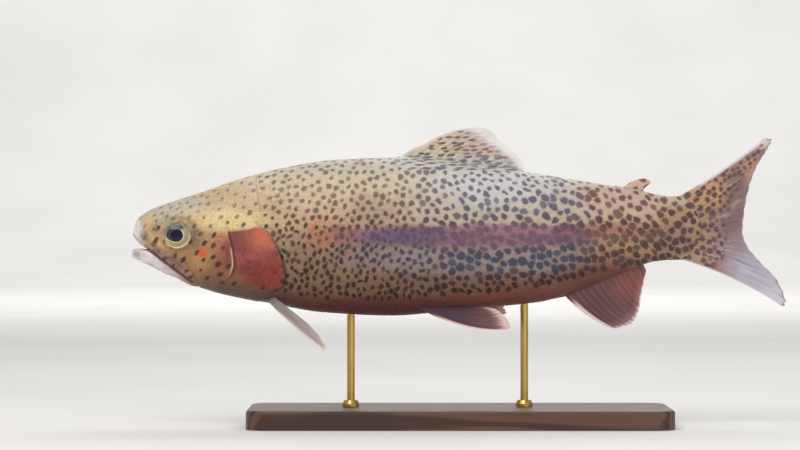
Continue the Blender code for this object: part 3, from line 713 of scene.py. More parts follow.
skinLook = {
    # colours from belly to back, by height over the body's axis; the dark maroon towards the belly is
    # painted shade and the pale grey along the back is painted sheen
    "height": [(-52, "#5c3534"), (-44, "#664039"), (-36, "#745341"), (-26, "#826550"), (-12, "#9b7c64"),
               (4, "#b9977a"), (18, "#c4a98c"), (34, "#c2b296"), (46, "#bab0a0"), (52, "#b0aaa0")],
    # patches over them: colour, centre (s, z), radii, softness, strength
    "patches": [
        # a pale grey painted sheen over the upper back
        ("#bfbbb2", (238, 36), (62, 20), 0.5, 0.9),
        ("#b5a899", (230, 18), (70, 13), 0.6, 0.8),
        ("#856a54", (128, -18), (40, 17), 0.6, 0.7),
        ("#918280", (222, -15), (80, 10), 0.55, 0.9),
        ("#7c5c50", (212, -31), (66, 7), 0.6, 0.8),
        # the next four: the flank's mauve band, its own rose colour made bluer by a painted sheen of sky
        # light
        ("#85606f", (218, -0.6), (96, 7.0), 0.42, 0.95),
        ("#9c6c80", (240, 3.4), (62, 3.0), 0.7, 0.6),
        ("#6f5264", (284, -0.6), (17, 6.6), 0.6, 0.8),
        ("#66526f", (172, -0.6), (28, 6.0), 0.6, 0.85),
        ("#956060", (134, 0.5), (12, 5.5), 0.6, 0.7),
        ("#bb7650", (121, 0), (8, 9), 0.9, 0.6),
        ("#b3653f", (116, 5), (3, 3), 0.9, 0.5),
        ("#a08a76", (154, 14), (17, 9), 0.7, 0.75),
        # the next two: pale grey painted sheen on the upper back and along its top
        ("#c4c4c4", (232, 31), (34, 12), 0.7, 0.75),
        ("#c0beb2", (212, 47), (42, 5.5), 0.5, 0.85),
        # the next two: dark maroon along the belly's lower edge, painted shade
        ("#7c4a40", (250, -41), (50, 9), 0.4, 0.9),
        ("#62383a", (165, -50), (64, 10), 0.4, 0.9),
        ("#b08c68", (345, 2), (52, 38), 0.28, 0.92),
        ("#c4a692", (312, 21), (26, 15), 0.5, 0.85),
        ("#c0a294", (312, 24), (24, 9), 0.7, 0.7),
        ("#9c6154", (312, 3), (30, 5), 0.7, 0.65),
        ("#825a4a", (306, -20), (26, 10), 0.6, 0.7),
        # darker at the belly's lower edge ahead of the anal fin: painted shade
        ("#74453a", (300, -27), (32, 8), 0.5, 0.85),
        ("#8b7062", (343, -4), (20, 9), 0.6, 0.8),
        ("#9a7e6c", (352, 4), (12, 14), 0.7, 0.5),
        ("#c4b8a4", (352, 25), (24, 5), 0.7, 0.6),
        ("#b3966e", (50, 16), (44, 16), 0.5, 0.8),
        ("#a1774f", (44, -14), (26, 18), 0.5, 0.85),
        # a pale greyish painted sheen over the forehead
        ("#b3aa9b", (18, 20), (30, 8), 0.6, 0.85),
        ("#d8d6d2", (-0.5, 4.5), (6.2, 11), 0.6, 1.0),
        ("#c3a268", (13, 3), (5, 8), 0.8, 0.7),
        ("#c9b088", (9.5, 10), (3.2, 3.6), 0.9, 0.6),
        ("#c29d5c", (19, -6.5), (7, 2.8), 0.7, 0.75),
        ("#86705e", (15.5, 4.5), (2.6, 4.0), 0.8, 0.7),
        ("#625249", (13.5, -6.6), (2.6, 2.0), 0.8, 0.8),
        ("#6d696c", (8, -0.6), (2.8, 2.8), 0.8, 0.85),
        ("#8d8580", (4.5, 11), (2.4, 1.8), 0.9, 0.5),
        ("#94897c", (3.0, -5.0), (2.2, 1.8), 0.9, 0.5),
        ("#d9c488", (62, 9.5), (22, 6), 0.7, 0.8),
        # dark olive brown round the eye, in its trough: painted shade
        ("#665644", (31.5, 0.5), (11.6, 10.6), 0.35, 0.6),
        ("#7a533e", (54, -23), (12, 8), 0.6, 0.65),
        # dark brown under the gill cover at the throat: painted shade
        ("#4f382e", (78, -39), (22, 6), 0.6, 0.7),
        ("#b08e50", (44, -17), (6, 6), 0.7, 0.6),
        ("#cf5634", (45.6, -11.2), (2.9, 3.2), 0.6, 0.9),
        ("#964f3e", (58.5, -14), (5.5, 11), 0.8, 0.75),
        ("#b0624a", (57, -2.5), (4, 3.5), 0.8, 0.7),
        # the next three: dark browns along the underside of the head and jaw, painted shade
        ("#6a4c3c", (62, -34), (28, 5.5), 0.6, 0.8),
        ("#4f403b", (36, -38), (24, 7), 0.5, 0.8),
        ("#5a4842", (17, -27), (17, 5), 0.6, 0.75),
        # dark olive brown behind the eye: painted shade in its trough
        ("#6f5b46", (40.5, -2), (3.4, 6), 0.8, 0.7),
        ("#94907e", (21, 9.5), (6, 4), 0.8, 0.5),
    ],
    "spotUpper": "#564f66", "spotLower": "#29170f", "spotRear": "#452b2b", "spotHead": "#3c241c",
    "spotTeal": "#3a4158", "spotBack": "#474f61", "spotBand": "#47384c", "spotFront": "#614c44",
    "spotStem": "#66473f", "spotGill": "#642726",
    # the gill cover: rose red, darker and browner below, orange at its upper rear
    "gill": [
        ("#783027", (80, -27), (20, 9), 0.6, 0.85),
        ("#93382a", (90, -24), (8, 9), 0.6, 0.75),
    ],
    "gillOver": [
        ("#74413f", (68, -3), (9, 6), 0.6, 0.7),
        ("#c0684a", (84, -2), (9, 7), 0.7, 0.85),
        ("#8a5a3e", (66, -30), (8, 6), 0.6, 0.8),
    ],
    # fine mottling: how often per millimetre, its detail and its roughness
    "freckle": (0.55, 4.0, 0.7), "gillTone": (0.16, 3.0, 0.5), "mottle": (0.42, 4.0, 0.65),
    "coverEdge": (0.35, 4.0, 0.65), "spotEdge": (0.6, 3.0, 0.6), "fleck": (0.5, 3.0, 0.75),
    "blush": (0.22, 2.0, 0.5), "pores": (1.4, 3.0, 0.6),
    "bareLip": "#ccb8b3",
}


def patched(colour, ragged, patches):
    return painted(colour, *[(zone(ragged, *patch), hexText) for hexText, *patch in patches])


def makeSkinMaterial():
    # fish skin: small scales under a thin wet film, satin, with the trout's markings, and painted shade and
    # painted sheen in its colour
    material, tree, shader = newMaterial("trout skin")
    look = skinLook
    place, ragged = bodyPlace(tree)
    sPlace, _, zPlace = add(tree, "SeparateXYZ", {}, {0: ragged})
    freckle, gillTone, mottle, coverEdge, spotEdge, fleck, blush, pores = (
        add(tree, "TexNoise", dict(zip(("Scale", "Detail", "Roughness"), look[k])), {"Vector": place})[0]
        for k in ("freckle", "gillTone", "mottle", "coverEdge", "spotEdge", "fleck", "blush", "pores"))
    streak = drawnNoise(place, (0.12, 0.3, 0.45), 4.0, 0.65)
    scaleTone = add(tree, "Attribute", {"attribute_name": "scaleTone"})["Fac"]
    cover, cheekLine, crease = attribute(tree, "marks")
    inSpot, spotTone, bareLip = attribute(tree, "spots")
    jawMark, plateMark, eyeRim = attribute(tree, "lips")
    onHead = fade((sPlace, 100, 86))

    # the colour by height carries painted shade on the belly and painted sheen along the back
    low, high = look["height"][0][0], look["height"][-1][0]
    stops = [((z - low) / (high - low), hexText) for z, hexText in look["height"]]
    level = fade((zPlace, low, high, 0.0, 1.0, "LINEAR"))
    colour = patched(add(tree, "ValToRGB", {"stops": stops}, {0: level})[0], ragged, look["patches"])
    colour = painted(
        colour,
        # streaks and mottling, a little lighter and darker, and each scale's own tone
        ((streak, 0.45, 0.75, 0, 0.30), "#e2d6b4", "SOFT_LIGHT"),
        ((streak, 0.5, 0.25, 0, 0.35), "#3b2f2a", "SOFT_LIGHT"),
        ((scaleTone, 0.0, 1.0, 0.0, 0.16, "LINEAR"), "#b3a698", "MULTIPLY"),
        # the head's bare skin is freckled, light and dark
        ([(freckle, 0.54, 0.70, 0, 0.38), fade(onHead, (zPlace, -14, 2))], "#e8dcc0"),
        ([(freckle, 0.46, 0.32, 0, 0.42), onHead], "#5d4638"))

    red = patched(painted("#803c3a", ((gillTone, 0.35, 0.65), "#9c4d48")), ragged, look["gill"])
    red = painted(red, ((mottle, 0.5, 0.68, 0, 0.55), "#5f2a26"), ((mottle, 0.46, 0.3, 0, 0.25), "#b5655a"))
    red = patched(red, ragged, look["gillOver"])
    ragEdge = add(tree, "Math", {"operation": "MULTIPLY_ADD", 1: 0.9}, {0: coverEdge, 2: cover})[0]
    colour = painted(colour, ([(ragEdge, 0.55, 1.15), (cover, 0.0, 0.12)], red))

    # spots: soft at the edge and a little ragged, fainter on the gill cover, the snout and the head's top
    depth = add(tree, "Math", {"operation": "MULTIPLY_ADD", 1: 2.2}, {0: spotEdge, 2: inSpot})[0]
    depth = add(tree, "Math", {"operation": "SUBTRACT", 1: 1.05}, {0: depth})[0]
    spot = fade((depth, -0.62, 0.62),
                (fade(cover, (spotTone, 0.86, 0.8)), 0, 1, 1, 0.06),
                (sPlace, 1, 16, 0.1, 1.0),
                (zone(place, (30, 24), (60, 17), 0.5), 0, 1, 1.0, 0.6, "LINEAR"),
                (spotTone, 0.0, 0.5, 0.84, 1.0))
    inBand = zone(ragged, (220, -0.6), (96, 6.6), 0.5, 0.85)
    dark = painted(look["spotFront"], ((sPlace, 165, 205), look["spotUpper"]))
    dark = painted(look["spotLower"], ((zPlace, -2, 22), dark))
    dark = painted(
        dark,
        (zone(ragged, (222, -13), (78, 12), 0.5, 0.85), look["spotTeal"]),
        (zone(ragged, (214, 47), (44, 6), 0.5, 0.85), look["spotBack"]),
        (inBand, look["spotBand"]),
        ((sPlace, 284, 300), look["spotRear"]),
        (zone(ragged, (320, 26), (36, 11), 0.5, 0.85), look["spotStem"]),
        ((sPlace, 96, 84), look["spotHead"]),
        ([cover, (cover, 0, 1, 0, 0.85)], look["spotGill"]))
    spot = fade(spot, (inBand, 0.0, 1.0, 1.0, 0.5, "LINEAR"))
    colour = painted(
        colour,
        ([(fleck, 0.56, 0.66, 0, 0.45), zone(ragged, (140, -14), (62, 27), 0.4)], look["spotLower"]),
        ([spot, (zPlace, 12, 48, 0.95, 0.85)], dark))

    # jaw and jaw plates, the lips' bare edge, the eye's rim, the cheek's pale line, and painted shade in
    # the creases
    jaw = painted(
        "#f0eaec",
        ((blush, 0.4, 0.7), "#dcc4c0"),
        (zone(ragged, (2.0, -12.0), (2.6, 2.8), 0.7, 0.8), "#99a0a6"),
        ((sPlace, 16, 36), "#b08a7c"))
    plate = painted(
        "#96766a",
        ((blush, 0.4, 0.6), "#7a5d55"),
        (zone(ragged, (36, -25), (5, 5), 0.7, 0.7), "#b0776a"),
        ([spot, (sPlace, 12, 20)], "#4d3933"))
    colour = painted(colour, (jawMark, jaw), (plateMark, plate), (bareLip, look["bareLip"]),
                     (eyeRim, "#cfc795"), (cheekLine, "#cdb8a4"), (crease, "#2a1a18"))
    bump = add(tree, "Bump", {"Strength": 0.22, "Distance": 0.0004}, {"Height": pores})[0]
    connect(shader, {"Base Color": colour, "Roughness": fade((pores, 0.3, 0.7, 0.34, 0.5)), "Normal": bump},
            {"Specular IOR Level": 0.32, "Coat Weight": 0.08, "Coat Roughness": 0.25})
    return material


def makeMouthMaterial():
    # wet gum and palate, with painted shade that turns it near black deeper inside
    material, tree, shader = newMaterial("mouth lining")
    place, ragged = bodyPlace(tree, 0.8, 4.0)
    sPlace = add(tree, "SeparateXYZ", {}, {0: ragged})[0]
    noise = add(tree, "TexNoise", {"Scale": 0.5, "Detail": 3.0}, {"Vector": place})[0]
    gum = painted("#7a4a48", ((noise, 0.35, 0.65), "#5b3434"))
    # towards the throat the lining goes near black: painted shade inside the mouth
    colour = painted("#c6b0ab", ((sPlace, 1.0, 8), gum), ((sPlace, 6, 16), "#1e1212"),
                     (attribute(tree, "spots")[2], skinLook["bareLip"]))
    bump = add(tree, "Bump", {"Strength": 0.3, "Distance": 0.0004}, {"Height": noise})[0]
    connect(shader, {"Base Color": colour, "Normal": bump}, {"Roughness": 0.35})
    return material


skinMaterial = makeSkinMaterial()
mouthMaterial = makeMouthMaterial()
print("skin and mouth materials")


skinForm = {
    "around": 256,
    "headStep": 0.5, "bodyStep": 2.4, "headEnd": 98.0,  # distance between the rings
    "flapUnder": 1.5, "flapThick": 0.9,  # the gill cover's free edge
    "eyeRound": (0.7, 3), "lipRound": (2.2, 26),  # how far the cuts' edges are rounded, and how often
}


def skinRings():
    # (place, shift, lift) of each ring: close together on the head, doubled at the cheek and the gill flap
    t = np.linspace(bodyForm["chin"], bodyForm["end"], 8000)
    speed = np.hypot(1, 0.9 * np.gradient(back(t), t))
    near, far = skinForm["headStep"], skinForm["bodyStep"]
    step = near + (far - near) * ramp(t, skinForm["headEnd"], 112)
    step = step * (1 - 0.6 * ramp(t, 344, 352))
    count = np.concatenate([[0], np.cumsum((speed / step)[1:] * np.diff(t))])
    places = np.interp(np.arange(0, count[-1], 1.0), count, t)
    rings = [(p, 0, 0) for p in places if abs(p - cheekRing) > 0.24 and not 89.7 < p < 90.4]
    under, thick = skinForm["flapUnder"], skinForm["flapThick"]
    rings += [(cheekRing, 0, 0), (cheekRing + 0.02, 0, 0), (89.85, 0, 0),
              (gillRing, 0, 0), (gillRing, -0.12, -thick), (gillRing, -under, -thick - 0.05),
              (gillRing, -under, -2.1), (90.001, 0.1, 0), (90.4, 0, 0), (bodyForm["end"], 0, 0)]
    return np.array(sorted(rings, key=lambda ring: ring[0])).T[..., None]


def buildSkin():
    t, shift, lift = skinRings()
    angle = np.linspace(0, 2 * math.pi, skinForm["around"], endpoint=False)[None, :]
    flap = flapReach(ringPoint(t, angle)[2])
    points, _ = surface(t, angle, lift * flap)
    # above and below the flap, its rings close up
    order = np.cumsum(t == gillRing)[:, None] * 0.03
    points[..., 0] += shift * flap + order * (1 - flap) * (np.abs(t - gillRing) < 0.01)
    ends = np.array([points[row].mean(0) for row in (0, -1)])
    ends[:, 0] += (-0.15, 0.6)
    faces = domeFaces(*points.shape[:2])
    return newPiece("skin", swing(np.concatenate([points.reshape(-1, 3), ends])), faces)


def mouthCutters():
    s = np.linspace(-7, 10.5, 30)[:, None]
    y = np.linspace(-34, 34, 90)[None, :]
    up = np.stack(np.broadcast_arrays(s, y, smoothCurve(gapeRoof)(s)), -1)
    down = np.stack(np.broadcast_arrays(s, y, smoothCurve(gapeFloor)(s)), -1)[::-1]
    loop = np.concatenate([up, down])
    rows, columns = loop.shape[:2]
    end = (rows - 1) * columns
    sides = np.arange(rows) * columns
    faces = list(gridFaces(rows, columns))
    faces += [np.array([j, j + end, j + end + 1, j + 1]) for j in range(columns - 1)]
    faces += [sides, (sides + columns - 1)[::-1]]
    slot = newPiece("slot", swing(loop.reshape(-1, 3)), faces)

    s = np.linspace(2.0, 28, 34)[:, None]
    a = np.linspace(0, 2 * math.pi, 40, endpoint=False)[None, :]
    full = ramp(s, 1.6, 5) * (1 - ramp(s, 10, 28.6)) + 0.03
    wide = (halfWidth(s) - 3.4) * full ** 0.6
    tall = np.where(np.cos(a) > 0, 4.6, 3.6) * full * np.cos(a)
    ring = np.stack([s + 0 * a, wide * np.sin(a), atLine(s, gapeMiddle) + tall], -1)
    return slot, newPiece("cavity", swing(ring.reshape(-1, 3)), drumFaces(*ring.shape[:2]))


def socketCutter():
    around = 96
    a = np.linspace(0, 2 * math.pi, around, endpoint=False)
    # distance from the fish's middle and radius
    rings = [(9.0, 5.0), (9.6, eyeRadius - 0.4), (12, eyeRadius), (14.5, eyeRadius - 0.1),
             (16, eyeRadius - 0.5), (30, eyeRadius - 0.3)]
    points, faces = [], []
    for side in (-1, 1):
        faces += drumFaces(len(rings), around, len(points) * around)
        for out, radius in rings:
            points.append(np.stack([eyeCentre[0] + radius * np.cos(a), side * out + 0 * a,
                                    eyeCentre[1] + eyeFlat * radius * np.sin(a)], -1))
    return newPiece("sockets", swing(np.concatenate(points)), faces)


def cutAway(obj, cutter):
    # takes the cutter out of the piece; what it lays bare gets the second material
    faceOut(cutter)
    for material in (skinMaterial, mouthMaterial):
        cutter.data.materials.append(material)
    cutter.data.polygons.foreach_set("material_index", np.ones(len(cutter.data.polygons), np.int32))
    modifier = obj.modifiers.new("cut", "BOOLEAN")
    modifier.operation, modifier.solver, modifier.object = "DIFFERENCE", "EXACT", cutter
    bpy.ops.object.select_all(action="DESELECT")
    obj.select_set(True)
    bpy.context.view_layer.objects.active = obj
    bpy.ops.object.modifier_apply(modifier=modifier.name)
    bpy.data.objects.remove(cutter)


def thinJawTip(obj):
    # the fan of narrow faces at the tip of the jaw is thinned out
    bm = bmesh.new()
    bm.from_mesh(obj.data)
    tip = min(bm.verts, key=lambda v: v.co.x).co.copy()
    edges = [e for e in bm.edges if all((v.co - tip).length < 3.5 * mm for v in e.verts)]
    bmesh.ops.dissolve_degenerate(bm, dist=0.25 * mm, edges=edges)
    print("open edges of the skin:", sum(not e.is_manifold for e in bm.edges))
    bm.to_mesh(obj.data)
    bm.free()


def softenRims(obj, reach, rounds, wanted):
    # rounds the edges between what shows outside and what the cuts laid bare, where wanted, and returns
    # how far each point lies from them
    mesh = obj.data
    co = coordinates(obj)
    perLoop = np.repeat(readOut(mesh.polygons, "material_index"), readOut(mesh.polygons, "loop_total"))
    seen = np.zeros((len(co), 2), bool)
    seen[loopVertices(obj), perLoop] = True
    rim = co[seen.all(1)]
    rim = rim[wanted(rim)]
    box = np.abs(rim - rim.mean(0)).max(0) + 4 * mm
    near = np.flatnonzero((np.abs(co - rim.mean(0)) < box).all(1))
    away = np.full(len(co), 1e9)
    for chunk in np.array_split(near, max(1, len(near) // 1500)):
        away[chunk] = np.linalg.norm(co[chunk, None, :] - rim[None, ::2, :], axis=2).min(1)
    share = np.clip(1 - away / (reach * mm), 0, 1)[:, None]
    one, two = readOut(mesh.edges, "vertices", 2).T
    degree = np.maximum(np.bincount(np.concatenate([one, two]), minlength=len(co)), 1)[:, None]
    for _ in range(rounds):
        total = [np.bincount(one, way[two], len(co)) + np.bincount(two, way[one], len(co)) for way in co.T]
        co += 0.6 * share * (np.stack(total, 1) / degree - co)
    mesh.vertices.foreach_set("co", co.astype(np.float32).reshape(-1))
    mesh.update()
    return away / mm


def markSkin(obj, lipAway):
    s, y, z = unswing(coordinates(obj))
    plateDepth = outlineDepth(s, z, plateOutline)
    # the bare pale edge of both lips, the same on the skin as on the lining
    spots = skinSpots(s, y, z)
    spots[:, 2] = (1 - ramp(lipAway, 0.7, 2.4)) * (1 - ramp(s, 6.5, 10))
    setAttribute(obj, "spots", spots)

    # marks: the red of the gill cover and ahead of it, the cheek's pale line, and painted shade in the
    # creases, under the gill flap and in the nostrils
    ahead = 0.62 * window(gillShare(s, z), -0.34, -0.06, 0, 0.02) * window(z, -26, -14, -8, 1)
    behindCheek, behindGill = s - cheekEdge(z), s - gillEdge(z)
    cheekLine = bell(behindCheek + 0.35, 0.45) * window(z, -28, -22, -11, -6) * (s < 70)
    # crease: painted shade behind the cheek's and gill cover's edges, along the mouth line, in the nostrils
    # and round the jaw plate
    crease = bell(behindCheek - 0.9, 0.75) * window(z, -29, -23, -4, 8) * 0.7
    crease += bell(behindGill - 0.5, 1.2) * window(z, -42, -35, -4, 4) * 0.4
    crease += bell(lineDistance(s, z, mouthLine), 1.05) * 0.66 * (1 - ramp(s, 36, 41))
    crease += sum(bell(np.hypot(s - a, z - b), c * 0.9) for a, b, c in nostrils) * (np.abs(y) > 3)
    crease += 0.3 * bell(plateDepth + 0.6, 0.8) * (s < 42)
    red = np.maximum(gillCover(s, z), ahead)
    setAttribute(obj, "marks", np.stack([red, cheekLine, np.clip(crease, 0, 1)], -1))

    # lips: the pale lower jaw and chin, the jaw plates, the eye's rim
    over = z - atLine(s, [(-2, -7.5), (5, -8.7), (10.5, -9.5), (20, -16.4), (30, -23.8), (38, -29.8)])
    deep = atLine(s, [(0, -9.0), (10, -8.6), (18, -8.0), (26, -6.6), (34, -4.0), (40, -2.4)])
    jaw = (1 - ramp(over, -0.7, 0.9)) * ramp(over, deep - 0.6, deep + 0.9) * (1 - ramp(s, 34, 42))
    jaw = np.maximum(jaw, (1 - ramp(s, 2.5, 5)) * (1 - ramp(z, -8.2, -7)) * ramp(z, -17.6, -16.0))
    chin = 1 - ramp(np.abs(y) - 0.3 * np.clip(s, 0, 20), 5.5, 9.5)
    jaw = np.maximum(jaw, 0.8 * (chin * (1 - ramp(over, -4, -1)) * (1 - ramp(s, 14, 40))))
    upperLip = 0.3 * (1 - ramp(lineDistance(s, z, gapeRoof), 1.2, 2.6)) * (s < 11)
    plate = np.maximum(ramp(plateDepth, -0.3, 0.5) * 0.85, upperLip)
    below = ramp(-z + 0.35 * (s - eyeCentre[0]), -3, 5)
    eyeRim = (1 - ramp(eyeAway(s, z), 8.3, 9.0)) * (0.35 + 0.6 * below)
    setAttribute(obj, "lips", np.stack([jaw * 0.95, plate, eyeRim], -1))


def bakeAlong(s):
    # place along the baked sheet, where the head gets more room than its length
    return np.interp(s, [bodyForm["chin"] - 1, 100, bodyForm["end"] + 1], [0.0, 0.36, 0.93])


def unwrapSkin(obj):
    # flanks side by side on one sheet, and the mouth's lining in its own corner
    loops = loopVertices(obj)
    s, y, z = unswing(coordinates(obj))
    angle, _ = unrolled(s, y, z)
    uv = np.stack([bakeAlong(s), np.sign(y) * angle / (2 * math.pi) + 0.5], -1)[loops]
    total = readOut(obj.data.polygons, "loop_total")
    starts = np.concatenate([[0], np.cumsum(total)[:-1]])
    face = np.repeat(np.arange(len(total)), total)
    count = np.bincount(face, minlength=len(total))
    # faces across the belly's seam go to one side of the sheet
    high = (np.bincount(face, uv[:, 1] > 0.5, len(total)) / count)[face] >= 0.5
    wraps = (np.maximum.reduceat(uv[:, 1], starts) - np.minimum.reduceat(uv[:, 1], starts) > 0.5)[face]
    uv[:, 1] = np.where(wraps & (uv[:, 1] < 0.5) & high, 1.0, uv[:, 1])
    uv[:, 1] = np.where(wraps & (uv[:, 1] > 0.5) & ~high, 0.0, uv[:, 1])
    lining = readOut(obj.data.polygons, "material_index")[face] == 1
    ls, ly, lz = s[loops], y[loops], z[loops]
    roof = np.bincount(face, lz, len(total))[face] / count[face] > atLine(ls, gapeMiddle)
    uv[lining, 0] = (0.945 + 0.05 * np.clip((ls + 2) / 36, 0, 1))[lining]
    uv[lining, 1] = (np.clip((ly + 22) / 44, 0, 1) * 0.2 + np.where(roof, 0.25, 0.02))[lining]
    setUv(obj, "OFBake", uv)


def besideEye(co):
    return np.hypot(co[:, 0] / mm + midShift - eyeCentre[0], co[:, 2] / mm - axisHeight) < 10


skin = buildSkin()
faceOut(skin)
for material in (skinMaterial, mouthMaterial):
    skin.data.materials.append(material)
for cutter in (*mouthCutters(), socketCutter()):
    cutAway(skin, cutter)
thinJawTip(skin)
# the skin stays tight round the eyes, the lips roll over softly
softenRims(skin, *skinForm["eyeRound"], besideEye)
lipAway = softenRims(skin, *skinForm["lipRound"], lambda co: ~besideEye(co))
markSkin(skin, lipAway)
unwrapSkin(skin)
skin.data.shade_smooth()
lining = readOut(skin.data.polygons, "material_index")
wallS, wallY, wallZ = unswing(readOut(skin.data.polygons, "center", 3, np.float32).astype(float))
lining[(eyeAway(wallS, wallZ) < 8.9) & (np.abs(wallY) > 11)] = 0  # the wall of the eye's socket is skin
settle(skin, "skin", [skinMaterial, mouthMaterial], "head", "lower_jaw", "upper_jaw_plate_left",
       "upper_jaw_plate_right", "gill_cover_left", "gill_cover_right", "trunk_front", "trunk_rear",
       "tail_stem")
skin.data.polygons.foreach_set("material_index", lining)
print("skin", len(skin.data.polygons), "faces")


# scales: overlapping rows over the trunk, each a small roof tile
scaleForm = {
    "pitch": 2.06, "first": 95.0, "last": 361.5,  # distance between the rows, and where they start and end
    "rowGap": [(95, 1.85), (180, 2.0), (270, 1.85), (330, 1.6), (364, 1.5)],  # between scales of one row
    "length": 3.4, "half": 1.4, "slope": 0.052, "crown": 0.11,
    "rims": (0.26, 0.52, 0.76, 0.965, 1.0), "around": 7,
    # small unevenness: share of the size, degrees, lift, and place along and across
    "size": 0.06, "tilt": 1.2, "lift": 0.002, "along": 0.06, "across": 0.02,
    "sheets": [("front", 0, 168), ("middle", 168, 250), ("rear", 250, 400)],  # the rows of each piece
}
rowGap = smoothCurve(scaleForm["rowGap"])
gridT = np.linspace(92, 364.4, 430)
gridA = np.linspace(-math.pi, math.pi, 401)
gridPoint, gridNormal = surface(gridT[:, None], gridA[None, :])


def skinAt(t, angle, lift):
    # a point of the skin raised by lift, read off a fine grid
    row = np.clip((t - gridT[0]) / (gridT[1] - gridT[0]), 0, len(gridT) - 1.001)
    col = np.mod(angle + math.pi, 2 * math.pi) / (gridA[1] - gridA[0])
    return between(gridPoint, row, col) + between(gridNormal, row, col) * lift[..., None]


def scaleTemplate():
    # half an oval that rises to its round rear edge, arched across, with a rim below; the last loop is its
    # hidden underside
    wide, rims = scaleForm["around"], scaleForm["rims"]
    points = [(-0.15, 0.0, 0.022)]
    for r in rims:
        for a in np.radians(np.linspace(-90, 90, wide)):
            x, w = r * math.cos(a) * scaleForm["length"], r * math.sin(a)
            high = 0.03 + scaleForm["slope"] * x - scaleForm["crown"] * w * w
            points.append((x, w * scaleForm["half"], high if r < 1 else -0.12))
    grid = gridFaces(len(rims), wide)[:, [0, 3, 2, 1]] + 1
    tips = [np.array((0, 1 + k, 2 + k)) for k in range(wide - 1)]
    last = 1 + wide * (len(rims) - 1)
    around = [0, *range(1, last, wide), *range(last, last + wide), *range(last - 1, 0, -wide)]
    return np.array(points), [*tips, *grid, np.array(around[::-1])]


def poreTemplate():
    # the raised pore canal on a scale of the lateral line
    turn = np.radians([-20, 35, 90, 145, 200])
    rings = [(0.9, 0.35), (1.3, 0.9), (2.2, 1.0), (2.75, 0.8), (3.0, 0.3)]  # place along the scale, size
    points = [(x, 0.32 * size * math.cos(a), 0.02 + 0.05 * x + 0.26 * size * math.sin(a))
              for x, size in rings for a in turn]
    grid = gridFaces(len(rings), len(turn))[:, [0, 3, 2, 1]]
    around = [0, 5, 10, 15, 20, 21, 22, 23, 24, 19, 14, 9, 4, 3, 2, 1]
    return np.array(points), [*grid, np.array(around[::-1])]


def scaleRoots(side):
    # (row, angle, angle per millimetre, half the gap, on the lateral line or not) of each scale
    roots = []
    for i, t in enumerate(np.arange(scaleForm["first"], scaleForm["last"], scaleForm["pitch"])):
        a = np.linspace(0, math.pi, 160)
        _, y, z = ringPoint(t, a)
        arc = np.concatenate([[0], np.cumsum(np.hypot(np.diff(y), np.diff(z)))])
        gap = rowGap(t)
        j = np.arange(-60, 60) + 0.5 * (i % 2)
        place = np.interp(-lateralLevel(t), -z, arc) + j * gap
        keep = (place > 0.2 * gap) & (place < arc[-1] - 0.2 * gap)
        place, j = place[keep], j[keep]
        angle, perArc = np.interp(place, arc, a), np.interp(place, arc, np.gradient(a, arc))
        same = np.ones(len(j))
        roots.append(np.stack([t * same, side * angle, side * perArc, gap / 2 * same, np.abs(j) < 0.3], -1))
    return np.concatenate(roots)


def spreadOver(template, roots):
    # one copy of the template on each root
    points, loops = template
    count = len(roots)
    t, angle, perArc, half, _ = (column[:, None] for column in roots.T)

    def uneven(width):
        return rng.normal(0, width, count)[:, None]

    grown = 1 + scaleForm["size"] * (rng.random(count)[:, None] - 0.5)
    tilt = np.radians(uneven(scaleForm["tilt"]))
    x, w, h = points.T
    w = w * half
    along = (x * np.cos(tilt) - w * np.sin(tilt)) * grown
    across = (x * np.sin(tilt) + w * np.cos(tilt)) * grown
    # the first rows grow out of the head's bare skin
    lift = (h + (h > 0) * uneven(scaleForm["lift"])) * (0.35 + 0.65 * ramp(t, 95, 112))
    placed = skinAt(t + along + uneven(scaleForm["along"]),
                    angle + (across + uneven(scaleForm["across"])) * perArc, lift)
    base = np.arange(count)[:, None] * len(points)
    faces = []
    for corners in sorted({len(loop) for loop in loops}):
        same = np.array([loop for loop in loops if len(loop) == corners])
        faces += list((same[None] + base[:, None]).reshape(-1, corners))
    # a spot of its own on the baked sheet, with the scale's own shape in it
    foot = skinAt(t[:, 0], angle[:, 0], np.zeros(count))[:, 0]
    own = np.stack(np.broadcast_arrays(x / 3.6 - 0.5, w / 2.8), -1) * 0.003
    turn = np.mod(angle[:, 0] + math.pi, 2 * math.pi) / (2 * math.pi)
    uv = np.stack([bakeAlong(foot), turn], -1)[:, None] + own
    return placed.reshape(-1, 3), faces, uv.reshape(-1, 2), np.repeat(rng.random(count), len(points))


def buildScales(name, side, first, last):
    roots = scaleRoots(side)
    roots = roots[(roots[:, 0] >= first) & (roots[:, 0] < last)]
    tiles, pores = spreadOver(scaleTemplate(), roots), spreadOver(poreTemplate(), roots[roots[:, 4] > 0])
    points, uv, tone = (np.concatenate([tiles[k], pores[k]]) for k in (0, 2, 3))
    faces = tiles[1] + [f + len(tiles[0]) for f in pores[1]]
    if side < 0:
        faces = [f[::-1] for f in faces]
    obj = newPiece(name, swing(points), faces)
    obj.data.polygons.foreach_set("use_smooth", [len(f) < 5 for f in faces])  # the hidden underside is flat
    setAttribute(obj, "spots", skinSpots(*points.T))
    setAttribute(obj, "scaleTone", tone)
    setUv(obj, "OFBake", np.clip(uv, 0, 1)[loopVertices(obj)])
    settle(obj, "skin", [skinMaterial])
    print(name, len(roots), "scales", sum(len(f) - 2 for f in faces), "triangles")


for name, first, last in scaleForm["sheets"]:
    buildScales("scales_left_" + name, -1, first, last)
    buildScales("scales_right_" + name, 1, first, last)


